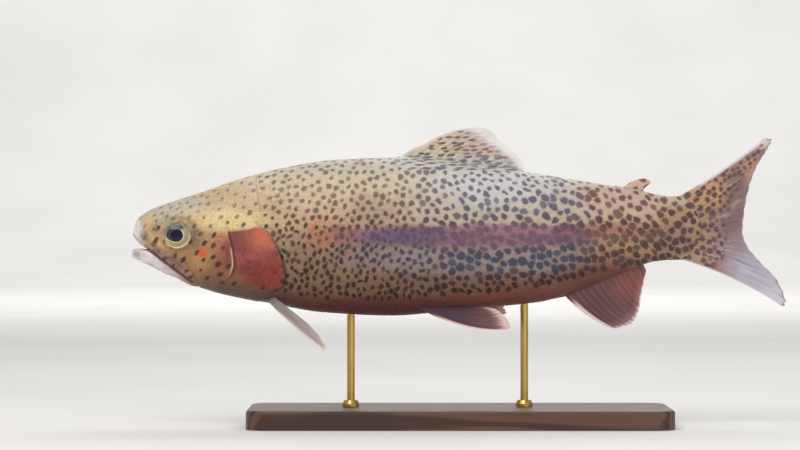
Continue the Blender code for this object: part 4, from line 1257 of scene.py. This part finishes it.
# fins: root and margin as (s, y, z) from the leading edge back, how far the sheet bows out between them,
# the number of rays, the mesh, and the thickness of web and rays
finForms = {
    "dorsal_fin": {
        "root": [(167, 0, 46.4), (202, 0, 43.6), (237, 0, 38.8)],
        "margin": [(219.5, 0, 69.0), (227.5, 0.6, 67.6), (233.5, 1.0, 61.8), (241, 1.0, 55.2),
                   (246.8, 0.7, 49.6), (250, 0.3, 42.4)],
        "bow": (0, 0.5, 6.0),
        "rays": 14, "perRay": 10, "rows": 56, "thick": 0.34, "ray": 0.32, "ragged": 0.035,
    },
    "caudal_fin": {
        "root": [(346.5, 0, 23.0), (353, 0, 14), (355, 0, 4.5), (353, 0, -5), (346.5, 0, -14.6)],
        "margin": [(404.8, -1.5, 62.4), (409.6, -1.2, 61.4), (407.2, -0.6, 56), (403.0, 0, 49.2),
                   (398.2, 0.8, 39.5), (394.6, 1.3, 27), (392.0, 1.5, 12), (391.6, 1.5, 0),
                   (395.4, 1.4, -9), (403.4, 1.2, -18.5), (413.4, 0, -29), (418.6, -1.6, -41.5),
                   (417.4, -2.0, -46.6)],
        "bow": (0, 0, 0), "upper": -1.6, "lower": 3.6,
        "rays": 21, "perRay": 10, "rows": 92, "thick": 0.36, "ray": 0.34, "ragged": 0.02,
    },
    "anal_fin": {
        "root": [(274, 0, -36.6), (300, 0, -25.4), (325, 0, -15.6)],
        "margin": [(306.4, 0, -59.9), (313, -0.3, -59.2), (320.2, -0.5, -55.6), (323.6, -0.8, -48),
                   (325.2, -0.6, -38), (328.6, 0, -23)],
        "bow": (-1.0, 0, -2.4),
        "rays": 13, "perRay": 10, "rows": 52, "thick": 0.34, "ray": 0.32, "ragged": 0.035,
    },
    "pectoral_fin": {
        "root": [(85.2, 8.6, -41.2), (87.8, 9.8, -40.2), (90.4, 11.2, -39.2)],
        "margin": [(122.8, 40, -72.6), (124.4, 36.5, -70.5), (121.8, 31.5, -66.6), (118, 27, -61.8),
                   (113, 22.5, -56.6)],
        "bow": (0, 1.0, -1.4), "lift": 24.0,  # the right fin is held higher by this
        "rays": 13, "perRay": 8, "rows": 50, "thick": 0.36, "ray": 0.3, "ragged": 0.03,
    },
    "pelvic_fin": {
        "root": [(181, 10.6, -45.6), (191, 9.2, -45.6), (200.5, 7.6, -45.6)],
        "margin": [(236.4, 24, -59.7), (239.6, 21, -58.9), (239.2, 17.8, -55.0), (236.4, 14.8, -51.0),
                   (232.2, 12.4, -47.6), (226, 10.5, -46.2)],
        "bow": (0, 0.6, -4.8), "lift": 8.0,
        "rays": 10, "perRay": 8, "rows": 46, "thick": 0.36, "ray": 0.32, "ragged": 0.03,
    },
    # a small fleshy lobe with no rays
    "adipose_fin": {
        "root": [(310, 0, 27.6), (317, 0, 26.4), (323.5, 0, 25.0)],
        "margin": [(322.5, 0, 35.6), (328.0, 0, 36.2), (331.2, 0, 33.4), (328.2, 0, 31.0)],
        "bow": (0, 0, 1.0),
    },
}

# colours from root to tip, the rays, the leading edge and the tip, then patches as on the skin
finLooks = {
    "dorsal_fin": {
        "along": [(0.0, "#bab8ae"), (0.35, "#c6b592"), (0.7, "#c9bba4"), (1.0, "#e2dad4")],
        "rays": "#8d7c6a", "rayShare": 0.3, "edge": "#e4dcd4", "edgeWidth": 0.06,
        "tip": "#e2dedd", "tipFrom": 0.62,
        "dashes": {"long": 7.2, "apart": 2.45, "radius": 0.30, "colour": "#3d3119", "strength": 0.92,
                   "rear": "#6a5450", "low": "#565c70", "streak": "#84695c", "paleStreak": "#ddcfc2"},
        "patches": [("#b3a19a", (222, 58), (24, 9), 0.7, 0.85), ("#c4b0ae", (238, 55), (9, 8), 0.6, 0.7),
                    ("#bab8ae", (212, 44), (46, 6.5), 0.25, 0.9)],
    },
    "caudal_fin": {
        "along": [(0.0, "#9f8265"), (0.3, "#9a785b"), (0.6, "#80655f"), (0.8, "#69575d"), (1.0, "#76666d")],
        "rays": "#94786a", "rayShare": 0.28, "edge": "#cfc6cf", "edgeWidth": 0.04, "lowerEdge": "#c5c0c8",
        "tip": "#93808a", "tipFrom": 0.97, "spots": "#4a2f34",
        "patches": [("#bd8f5c", (371, 27), (18, 8), 0.6, 0.85), ("#b08a6a", (390, 42), (22, 9), 0.6, 0.85),
                    ("#634e52", (387, 14), (8, 32), 0.5, 0.9), ("#8d7c84", (388, -12), (14, 13), 0.6, 0.9),
                    ("#a9abba", (399, -26), (17, 14), 0.6, 0.92),
                    ("#cdd0dc", (415, -43), (14, 12), 0.7, 0.85),
                    ("#d8bfb6", (406, 60), (7, 5), 0.7, 0.85)],
    },
    "anal_fin": {
        # the anal fin's own colour, darkened to maroon by painted shade under the body
        "along": [(0.0, "#6c4038"), (0.4, "#5c3638"), (0.8, "#573438"), (1.0, "#8a6a70")],
        "rays": "#774a48", "rayShare": 0.2, "edge": "#e0ccc6", "edgeWidth": 0.05,
        "tip": "#cdb6b6", "tipFrom": 0.93, "folds": (16, 2.0, 0.3, "#3a2022", "#8a5a55"),
        "patches": [("#4a2c32", (298, -45), (14, 8), 0.7, 0.6), ("#7a3f38", (318, -32), (11, 9), 0.7, 0.8),
                    ("#9a5e50", (325, -46), (3.5, 14), 0.7, 0.8)],
    },
    "pectoral_fin": {
        "along": [(0.0, "#a09a94"), (0.3, "#938884"), (0.8, "#a0908f"), (1.0, "#c3ada4")],
        "rays": "#7d6d6c", "rayShare": 0.4, "edge": "#d2c6bc", "edgeWidth": 0.09,
        "tip": "#d6bfb0", "tipFrom": 0.93, "folds": (10, 1.6, 0.7, "#6f605f", "#c2b8b1"), "patches": [],
    },
    "pelvic_fin": {
        # the pelvic fin's own colour, darkened near black by painted shade under the belly, pale at the tip
        "along": [(0.0, "#3c212a"), (0.45, "#391e2d"), (0.8, "#5a2e2e"), (1.0, "#b08a84")],
        "rays": "#6b4650", "rayShare": 0.25, "edge": "#d9b5ac", "edgeWidth": 0.1,
        "tip": "#d8b8ac", "tipFrom": 0.86, "folds": (14, 2.0, 0.3, "#2a141c", "#8a565a"), "patches": [],
    },
}
plainFolds = (16, 2.0, 0.35, "#503832", "#cdbab0")  # across and along the fin, strength, darker, lighter


def addDashes(colour, place, across, along, look):
    # level dashes, in the fish's own directions, that leave the fin's rim bare
    tree = place.id_data
    sPlace, _, zPlace = add(tree, "SeparateXYZ", {}, {0: place})
    slope = -0.08
    level = add(tree, "VectorMath", {"operation": "DOT_PRODUCT",
                                     1: (slope / look["apart"], 0, 1 / look["apart"])}, {0: place})[1]
    row = add(tree, "VectorMath", {"operation": "DOT_PRODUCT", 1: (1 / look["long"], 0, 0)}, {0: place})[1]
    cells = add(tree, "CombineXYZ", {}, {0: row, 1: level})[0]
    warp = add(tree, "TexNoise", {"Scale": 1.4, "Detail": 2.0}, {"Vector": cells})["Color"]
    warp = add(tree, "VectorMath", {"operation": "MULTIPLY_ADD", 1: (0.5,) * 3, 2: (-0.25,) * 3},
               {0: warp})[0]
    cells = add(tree, "VectorMath", {"operation": "ADD"}, {0: cells, 1: warp})[0]
    near = add(tree, "TexVoronoi", {"voronoi_dimensions": "2D", "Scale": 1.0, "Randomness": 0.8},
               {"Vector": cells})["Distance"]
    near = add(tree, "Math", {"operation": "SUBTRACT"}, {0: near, 1: fade((zPlace, 53, 49, 0, 0.1))})[0]
    dash = fade((near, look["radius"] + 0.07, look["radius"] - 0.06, 0.0, look["strength"]),
                (along, 0.84, 0.72), (across, 0.05, 0.11), (sPlace, 226, 246, 1.0, 0.55))
    streaks = drawnNoise(place, (0.1, 0, 0.9), 3.0, 0.6)
    dark = painted(look["colour"], ((sPlace, 196, 222), look["rear"]), ((zPlace, 52, 49), look["low"]))
    return painted(colour, ((streaks, 0.5, 0.68, 0, 0.5), look["streak"]),
                   ((streaks, 0.48, 0.32, 0, 0.4), look["paleStreak"]), (dash, dark))


def makeFinMaterial(name, look):
    # skin between horny rays: thin, wet, satin
    material, tree, shader = newMaterial(name.replace("_", " "))
    place, ragged = bodyPlace(tree, 1.2, 6.0)
    fin = add(tree, "Attribute", {"attribute_name": "finPlace"})["Vector"]
    across, out, onRay = add(tree, "SeparateXYZ", {}, {0: fin})
    noise = drawnNoise(fin, (26, 4, 0), 3.0)
    uneven = add(tree, "Math", {"operation": "MULTIPLY_ADD", 1: 0.16, 2: -0.08}, {0: noise})[0]
    along = add(tree, "Math", {"operation": "ADD"}, {0: out, 1: uneven})[0]
    colour = add(tree, "ValToRGB", {"stops": look["along"]}, {0: along})[0]
    colour = patched(colour, ragged, look["patches"])
    if "dashes" in look:
        colour = addDashes(colour, place, across, along, look["dashes"])
    if "spots" in look:
        # the body's spots run on, to the tip in the upper lobe and only near the root below it
        deep = attribute(tree, "spots")[0]
        deep = add(tree, "Math", {"operation": "MULTIPLY_ADD", 1: 1.6}, {0: noise, 2: deep})[0]
        upper = fade((across, 0.14, 0.45, 0.97, 0.74, "LINEAR"))
        lower = fade((across, 0.58, 0.88, 0, 0.36, "LINEAR"))
        bound = add(tree, "Math", {"operation": "SUBTRACT"}, {0: upper, 1: lower})[0]
        beyond = add(tree, "Math", {"operation": "SUBTRACT"}, {0: along, 1: bound})[0]
        colour = painted(colour, ([(deep, 0.2, 1.2), (beyond, 0.05, -0.07)], look["spots"]))
    # folds of the web run with the rays
    stretchAcross, stretchAlong, strength, darker, lighter = look.get("folds", plainFolds)
    folds = drawnNoise(fin, (stretchAcross, stretchAlong, 0), 3.0, 0.6)
    leading = add(tree, "Math", {"operation": "ADD"}, {0: across, 1: fade(uneven, uneven)})[0]
    colour = painted(
        colour,
        ((folds, 0.52, 0.7, 0, strength), darker),
        ((folds, 0.46, 0.3, 0, strength), lighter),
        ([onRay, (noise, 0.25, 0.7, 0.5 * look["rayShare"], look["rayShare"])], look["rays"]),
        ([(leading, look["edgeWidth"] * 1.5, look["edgeWidth"] * 0.7), (out, 0.12, 0.35)], look["edge"]))
    if "lowerEdge" in look:
        colour = painted(colour, ((across, 0.97, 0.99), look["lowerEdge"]))
    tipTo = 0.5 + 0.5 * look["tipFrom"] ** 0.4
    colour = painted(colour, ((along, look["tipFrom"], tipTo, 0.0, 0.85), look["tip"]))
    fibre = drawnNoise(fin, (160, 8, 0), 2.0)
    joints = add(tree, "TexWave", {"wave_type": "BANDS", "bands_direction": "Y", "Scale": 9.0,
                                   "Distortion": 2.0}, {"Vector": fin})["Fac"]
    height = add(tree, "Math", {"operation": "MULTIPLY_ADD", 1: 0.5}, {0: fade(joints, onRay), 2: fibre})[0]
    bump = add(tree, "Bump", {"Strength": 0.35, "Distance": 0.0003}, {"Height": height})[0]
    connect(shader, {"Base Color": colour, "Normal": bump, "Roughness": fade((fibre, 0.3, 0.7, 0.36, 0.5))},
            {"Subsurface Weight": 0.12, "Subsurface Radius": (1.0, 0.5, 0.35), "Subsurface Scale": 0.002})
    return material


def finCentre(form, u, v):
    # the fin's middle surface: u from the leading edge back, v from root to margin
    root, tip = splinePoint(form["root"], u), splinePoint(form["margin"], u)
    lift = (4 * v * (1 - v))[..., None]
    point = root + (tip - root) * v[..., None] + np.array(form["bow"]) * lift * (1 - u[..., None]) ** 0.5
    point[..., 2] += form.get("upper", 0.0) * lift[..., 0] * np.maximum(0, 1 - 2 * u) ** 3
    point[..., 2] += form.get("lower", 0.0) * lift[..., 0] * np.maximum(0, 2 * u - 1) ** 3
    return point


def rayHeight(u, v, rays):
    # ridges along the rays, each of which forks once and then again on the way out
    place = u * rays
    own = np.floor(place) + 0.5
    stout = (own > 2).astype(float)  # the first rays don't fork
    firstFork, secondFork = ramp(v, 0.38, 1.0) * 0.25, ramp(v, 0.68, 1.05) * 0.13
    width = 0.2 - 0.1 * v + 0.06 * (1 - stout)
    height = np.zeros(np.shape(u))
    for a, b in ((-1, -1), (-1, 1), (1, -1), (1, 1)):
        centre = own + (a * firstFork + b * secondFork) * stout
        height = np.maximum(height, bell(place - centre, width))
    return height


def buildFin(name, node, material, side=1, lift=0.0, seed=1):
    form, noise = finForms[name], np.random.default_rng(seed)
    rays, rows, rag = form["rays"], form["rows"], form["ragged"]
    columns = rays * form["perRay"] + 1
    u, v = np.meshgrid(np.linspace(0, 1, columns), np.linspace(0, 1, rows))
    # the web falls short of the rays' ends, and each end has its own length
    own = np.interp(u * rays, np.arange(rays + 2), noise.normal(0, 0.5, rays + 2))
    recess = rag * (0.5 - 0.5 * np.cos(2 * math.pi * u * rays)) * ramp(v, 0.5, 1.0)
    longer = rag * 0.5 * own * ramp(v, 0.4, 1) * window(u, 0, 0.08, 0.92, 1)
    reach = v * (1 - rag * 0.6 + longer) + recess * 0.6
    centre = finCentre(form, u, np.clip(reach, 0, 1.02))
    centre[..., 1] += 0.5 * np.sin(u * 11 + v * 3.0) * v ** 1.5 * window(u, 0, 0.1, 0.9, 1.0)
    centre[..., 1] *= side
    centre[..., 2] += lift * reach ** 1.2
    centre[..., 1] += side * 0.35 * lift * reach
    normal = np.cross(np.gradient(centre, axis=0), np.gradient(centre, axis=1))
    normal /= np.maximum(np.linalg.norm(normal, axis=-1, keepdims=True), 1e-9)
    ridge = rayHeight(u, v, rays)
    edge = 0.35 + 0.65 * ramp(np.minimum(u, 1 - u), 0, 0.02)
    web = form["thick"] * (1 - 0.72 * ramp(v, 0.05, 1.0)) * edge
    half = web * 0.55 + form["ray"] * ridge * (1 - 0.7 * v)
    obj = sheetPiece(node + "_web", centre, normal * half[..., None])
    both = np.stack([np.concatenate([a, a[:, ::-1]], axis=1).reshape(-1) for a in (u, v, ridge)], -1)
    setAttribute(obj, "finPlace", both)
    onSecond = np.repeat([[0.0, 1.0]], rows, 0).repeat(columns, 1).reshape(-1)  # which face of the fin
    if "spots" in finLooks[name]:
        s, _, z = unswing(coordinates(obj))
        setAttribute(obj, "spots", spotsAt(s, (2 * onSecond - 1) * (tailTop - z)))
    uv = np.stack([0.01 + onSecond * 0.5 + both[:, 0] * 0.48, 0.01 + both[:, 1] * 0.98], -1)
    setUv(obj, "OFBake", uv[loopVertices(obj)])
    settle(obj, "dark_fin" if name in ("anal_fin", "pelvic_fin") else "pale_fin", [material], node)


def buildAdipose():
    u, v = np.meshgrid(np.linspace(0, 1, 36), np.linspace(0, 1, 30))
    edge = np.minimum(np.minimum(u, 1 - u) * 2.2, 1 - v)
    half = 0.95 * np.sqrt(np.clip(edge * 2.2, 0.004, 1)) * (1.25 - 0.5 * v)
    centre = finCentre(finForms["adipose_fin"], u, v)
    obj = sheetPiece("adipose_lobe", centre, half[..., None] * np.array([0, 1, 0]))
    s, _, z = unswing(coordinates(obj))
    setAttribute(obj, "spots", spotsAt(s, tailTop - z))
    settle(obj, "skin", [skinMaterial], "adipose_fin")


for name, look in finLooks.items():
    material = makeFinMaterial(name, look)
    if "lift" in finForms[name]:
        buildFin(name, name + "_left", material, -1, 0.0, 3)
        buildFin(name, name + "_right", material, 1, finForms[name]["lift"], 4)
    else:
        buildFin(name, name, material)
buildAdipose()
print("fins")


eyeForm = {
    "rim": 16.9,  # distance of the eye's rim from the fish's middle
    # radius and height over the rim
    "profile": [(0, 2.15), (1.5, 2.1), (3.0, 1.88), (4.4, 1.55), (5.8, 1.05), (7.0, 0.45), (7.8, -0.1),
                (8.25, -0.8), (8.2, -2.4), (6.6, -5.0), (3.6, -6.6), (0, -7.2)],
    "around": 96, "rows": 64,
}


def makeEyeMaterial():
    # glass-clear cornea over a gold and olive iris: one glossy coat on the painted eye
    material, tree, shader = newMaterial("eye glass")
    eye = add(tree, "Attribute", {"attribute_name": "eyePlace"})["Vector"]
    rear, up, _ = add(tree, "SeparateXYZ", {}, {0: eye})
    noise = add(tree, "TexNoise", {"Scale": 0.8, "Detail": 4.0, "Roughness": 0.65}, {"Vector": eye})[0]
    fine = add(tree, "TexNoise", {"Scale": 3.2, "Detail": 3.0}, {"Vector": eye})[0]
    radius = add(tree, "VectorMath", {"operation": "LENGTH"}, {0: eye})[1]
    above = add(tree, "Math", {"operation": "MULTIPLY_ADD", 1: -0.55}, {0: rear, 2: up})[0]
    # the pupil is a pear that points ahead
    ahead = add(tree, "VectorMath", {"operation": "MULTIPLY_ADD", 1: (0.86, 1.0, 0), 2: (1.7, -0.35, 0)},
                {0: eye})[0]
    ahead = add(tree, "VectorMath", {"operation": "LENGTH"}, {0: ahead})[1]
    pear = add(tree, "Math", {"operation": "SMOOTH_MIN", 2: 1.6}, {0: radius, 1: ahead})[0]
    rim = fade((radius, 6.4, 7.1), (noise, 0.3, 0.6, 1.0, 0.6))
    iris = painted(
        "#8d7a5e",
        # olive and rosy brown, gold below, slate above and ahead of the pupil
        ((noise, 0.38, 0.62), "#6d6a4c"),
        ((fine, 0.5, 0.68, 0, 0.6), "#3f4030"),
        ([(up, -2.0, -5.5), (noise, 0.62, 0.4, 0.5, 0.95)], "#b89f57"),
        ([(rear, 1.5, 4.5), (noise, 0.35, 0.6, 0.4, 0.9)], "#a88f78"),
        ((above, 0.5, 4.2, 0, 0.94), "#33373c"),
        # a cream rim outside, strongest below, and a thin cream ring round the pupil's back and bottom
        ([rim, (above, 8.0, -2.0, 0.3, 1.0)], "#cdc08c"),
        ([(pear, 5.0, 4.5, 0, 0.9), (above, 3.5, 0.5, 0.12, 1.0)], "#cfc5a4"),
        ((pear, 4.25, 3.85), "#33364c"),
        ((radius, 4.1, 3.5), "#080a28"))
    connect(shader, {"Base Color": iris}, {"Roughness": 0.5, "Specular IOR Level": 0.05, "Coat IOR": 1.376,
                                           "Coat Weight": 1.0, "Coat Roughness": 0.03})
    return material


def buildEye(node, side, material):
    rows, around = eyeForm["rows"], eyeForm["around"]
    profile = splinePoint(eyeForm["profile"], np.linspace(0, 1, rows))
    a = np.linspace(0, 2 * math.pi, around, endpoint=False)[None, :]
    r, out = np.maximum(profile[:, 0:1], 0), profile[:, 1:2]
    points = np.stack([eyeCentre[0] + r * np.cos(a), side * (eyeForm["rim"] + out) + 0 * a,
                       eyeCentre[1] + eyeFlat * r * np.sin(a)], -1)
    points[0, :, [0, 2]] = np.array(eyeCentre)[:, None]
    cloud = np.concatenate([points[1:-1].reshape(-1, 3), points[:1, 0], points[-1:, 0]])
    obj = newPiece(node + "_glass", swing(cloud), domeFaces(rows - 2, around))
    faceOut(obj)
    place = [cloud[:, 0] - eyeCentre[0], cloud[:, 2] - eyeCentre[1], 0 * cloud[:, 0]]
    setAttribute(obj, "eyePlace", np.stack(place, -1))
    settle(obj, "eye", [material], node)


eyeMaterial = makeEyeMaterial()
buildEye("eye_left", -1, eyeMaterial)
buildEye("eye_right", 1, eyeMaterial)
print("eyes")


def makeWood():
    # oiled dark walnut, grain along the board
    material, tree, shader = newMaterial("oiled walnut")
    place = add(tree, "TexCoord")["Object"]
    stretched = add(tree, "VectorMath", {"operation": "MULTIPLY", 1: (6, 60, 60)}, {0: place})[0]
    bend = add(tree, "TexNoise", {"Scale": 0.5, "Detail": 2.0}, {"Vector": stretched})["Color"]
    grain = add(tree, "VectorMath", {"operation": "MULTIPLY_ADD", 1: (1.6,) * 3},
                {0: bend, 2: stretched})[0]
    rings = add(tree, "TexWave", {"wave_type": "BANDS", "bands_direction": "Y", "Scale": 0.7,
                                  "Distortion": 5.0, "Detail": 3.0, "Detail Scale": 1.4},
                {"Vector": grain})["Fac"]
    pores = drawnNoise(place, (40, 900, 900), 4.0, 0.7)
    colour = painted("#3b2419", ((rings, 0.1, 0.9), "#5d3d2a"), ((pores, 0.58, 0.72, 0, 0.6), "#20120c"))
    bump = add(tree, "Bump", {"Strength": 0.25, "Distance": 0.0003}, {"Height": pores})[0]
    connect(shader, {"Base Color": colour, "Roughness": fade((pores, 0.3, 0.7, 0.32, 0.5)), "Normal": bump})
    return material


def makeBrass():
    # brushed brass, drawn along the rod
    material, tree, shader = newMaterial("brushed brass")
    brushed = drawnNoise(add(tree, "TexCoord")["Object"], (2600, 2600, 60), 3.0)
    bump = add(tree, "Bump", {"Strength": 0.08, "Distance": 0.0002}, {"Height": brushed})[0]
    connect(shader, {"Base Color": painted("#b08d4c", ((brushed, 0.3, 0.7), "#cba862")),
                     "Roughness": fade((brushed, 0.3, 0.7, 0.22, 0.36)), "Normal": bump}, {"Metallic": 1.0})
    return material


wood, brass = makeWood(), makeBrass()
for node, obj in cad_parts.items():
    if node.startswith("stand_"):
        obj.material_slots[0].material = wood if node == "stand_base" else brass
print("stand")


# in metres and watts
stageForm = {
    "lens": 150.0, "frameWidth": 0.512, "across": -0.038, "height": 0.1284,
    "floorHalf": 12.0, "floorLow": 0.0002, "sweepFrom": 5.0, "sweep": 1.8, "backdrop": 6.0,
    "lamps": {
        "key": {"place": (-0.5, -0.9, 1.3), "size": 1.2, "power": 14.5, "tint": (1.0, 0.97, 0.93)},
        "fill": {"place": (0.9, -1.3, 0.5), "size": 1.4, "power": 7.0, "tint": (0.93, 0.96, 1.0)},
        "wash": {"place": (0.0, 3.0, 3.0), "size": 3.0, "power": 120.0, "tint": (1.0, 1.0, 1.0),
                 "aim": (0, 6.4, 0.6)},
        "back": {"place": (0.2, 0.9, 1.2), "size": 1.0, "power": 8.0, "tint": (1.0, 1.0, 1.0)},
    },
    "sky": (0.93, 0.95, 1.0, 1.0), "skyPower": 0.55,
}


def makePaper():
    # matt paper, pale and even, with no shine
    material, tree, shader = newMaterial("matt paper backdrop")
    place = add(tree, "TexCoord")["Object"]
    noise = add(tree, "TexNoise", {"Scale": 3.0, "Detail": 2.0}, {"Vector": place})[0]
    connect(shader, {"Base Color": painted("#d9d7d2", ((noise, 0.3, 0.7), "#dedcd8"))}, {"Roughness": 0.9})
    return material


def buildFloor():
    # a floor that sweeps up into a backdrop
    half, start, sweep = stageForm["floorHalf"], stageForm["sweepFrom"], stageForm["sweep"]
    turn = np.radians(np.linspace(0, 90, 40))
    depth = [(-half, 0.0), *zip(start + sweep * np.sin(turn), sweep - sweep * np.cos(turn)),
             (start + sweep, stageForm["backdrop"])]
    points = np.array([(x, y, z - stageForm["floorLow"]) for y, z in depth for x in (-half, half)])
    floor = newPiece("floor", points, gridFaces(len(depth), 2)[:, ::-1])
    floor.data.materials.append(makePaper())


def buildCamera():
    camera = bpy.data.objects.new("camera", bpy.data.cameras.new("camera"))
    bpy.context.scene.collection.objects.link(camera)
    camera.data.lens = stageForm["lens"]
    distance = stageForm["frameWidth"] * stageForm["lens"] / camera.data.sensor_width
    camera.location = (stageForm["across"], -distance, stageForm["height"])
    camera.rotation_euler = (math.pi / 2, 0, 0)
    bpy.context.scene.camera = camera


def buildLights():
    for name, lamp in stageForm["lamps"].items():
        data = bpy.data.lights.new(name, "AREA")
        data.shape, data.size, data.energy, data.color = "DISK", lamp["size"], lamp["power"], lamp["tint"]
        obj = bpy.data.objects.new(name, data)
        obj.location = lamp["place"]
        aim = Vector(lamp.get("aim", (0, 0, 0.1)))
        obj.rotation_euler = (aim - Vector(lamp["place"])).to_track_quat("-Z", "Y").to_euler()
        bpy.context.scene.collection.objects.link(obj)
    world = bpy.data.worlds.new("studio")
    world.use_nodes = True
    background = world.node_tree.nodes["Background"]
    background.inputs["Color"].default_value = stageForm["sky"]
    background.inputs["Strength"].default_value = stageForm["skyPower"]
    bpy.context.scene.world = world
    bpy.context.scene.view_settings.view_transform = "Standard"


buildCamera()
buildFloor()
buildLights()
print("camera, floor and lights")
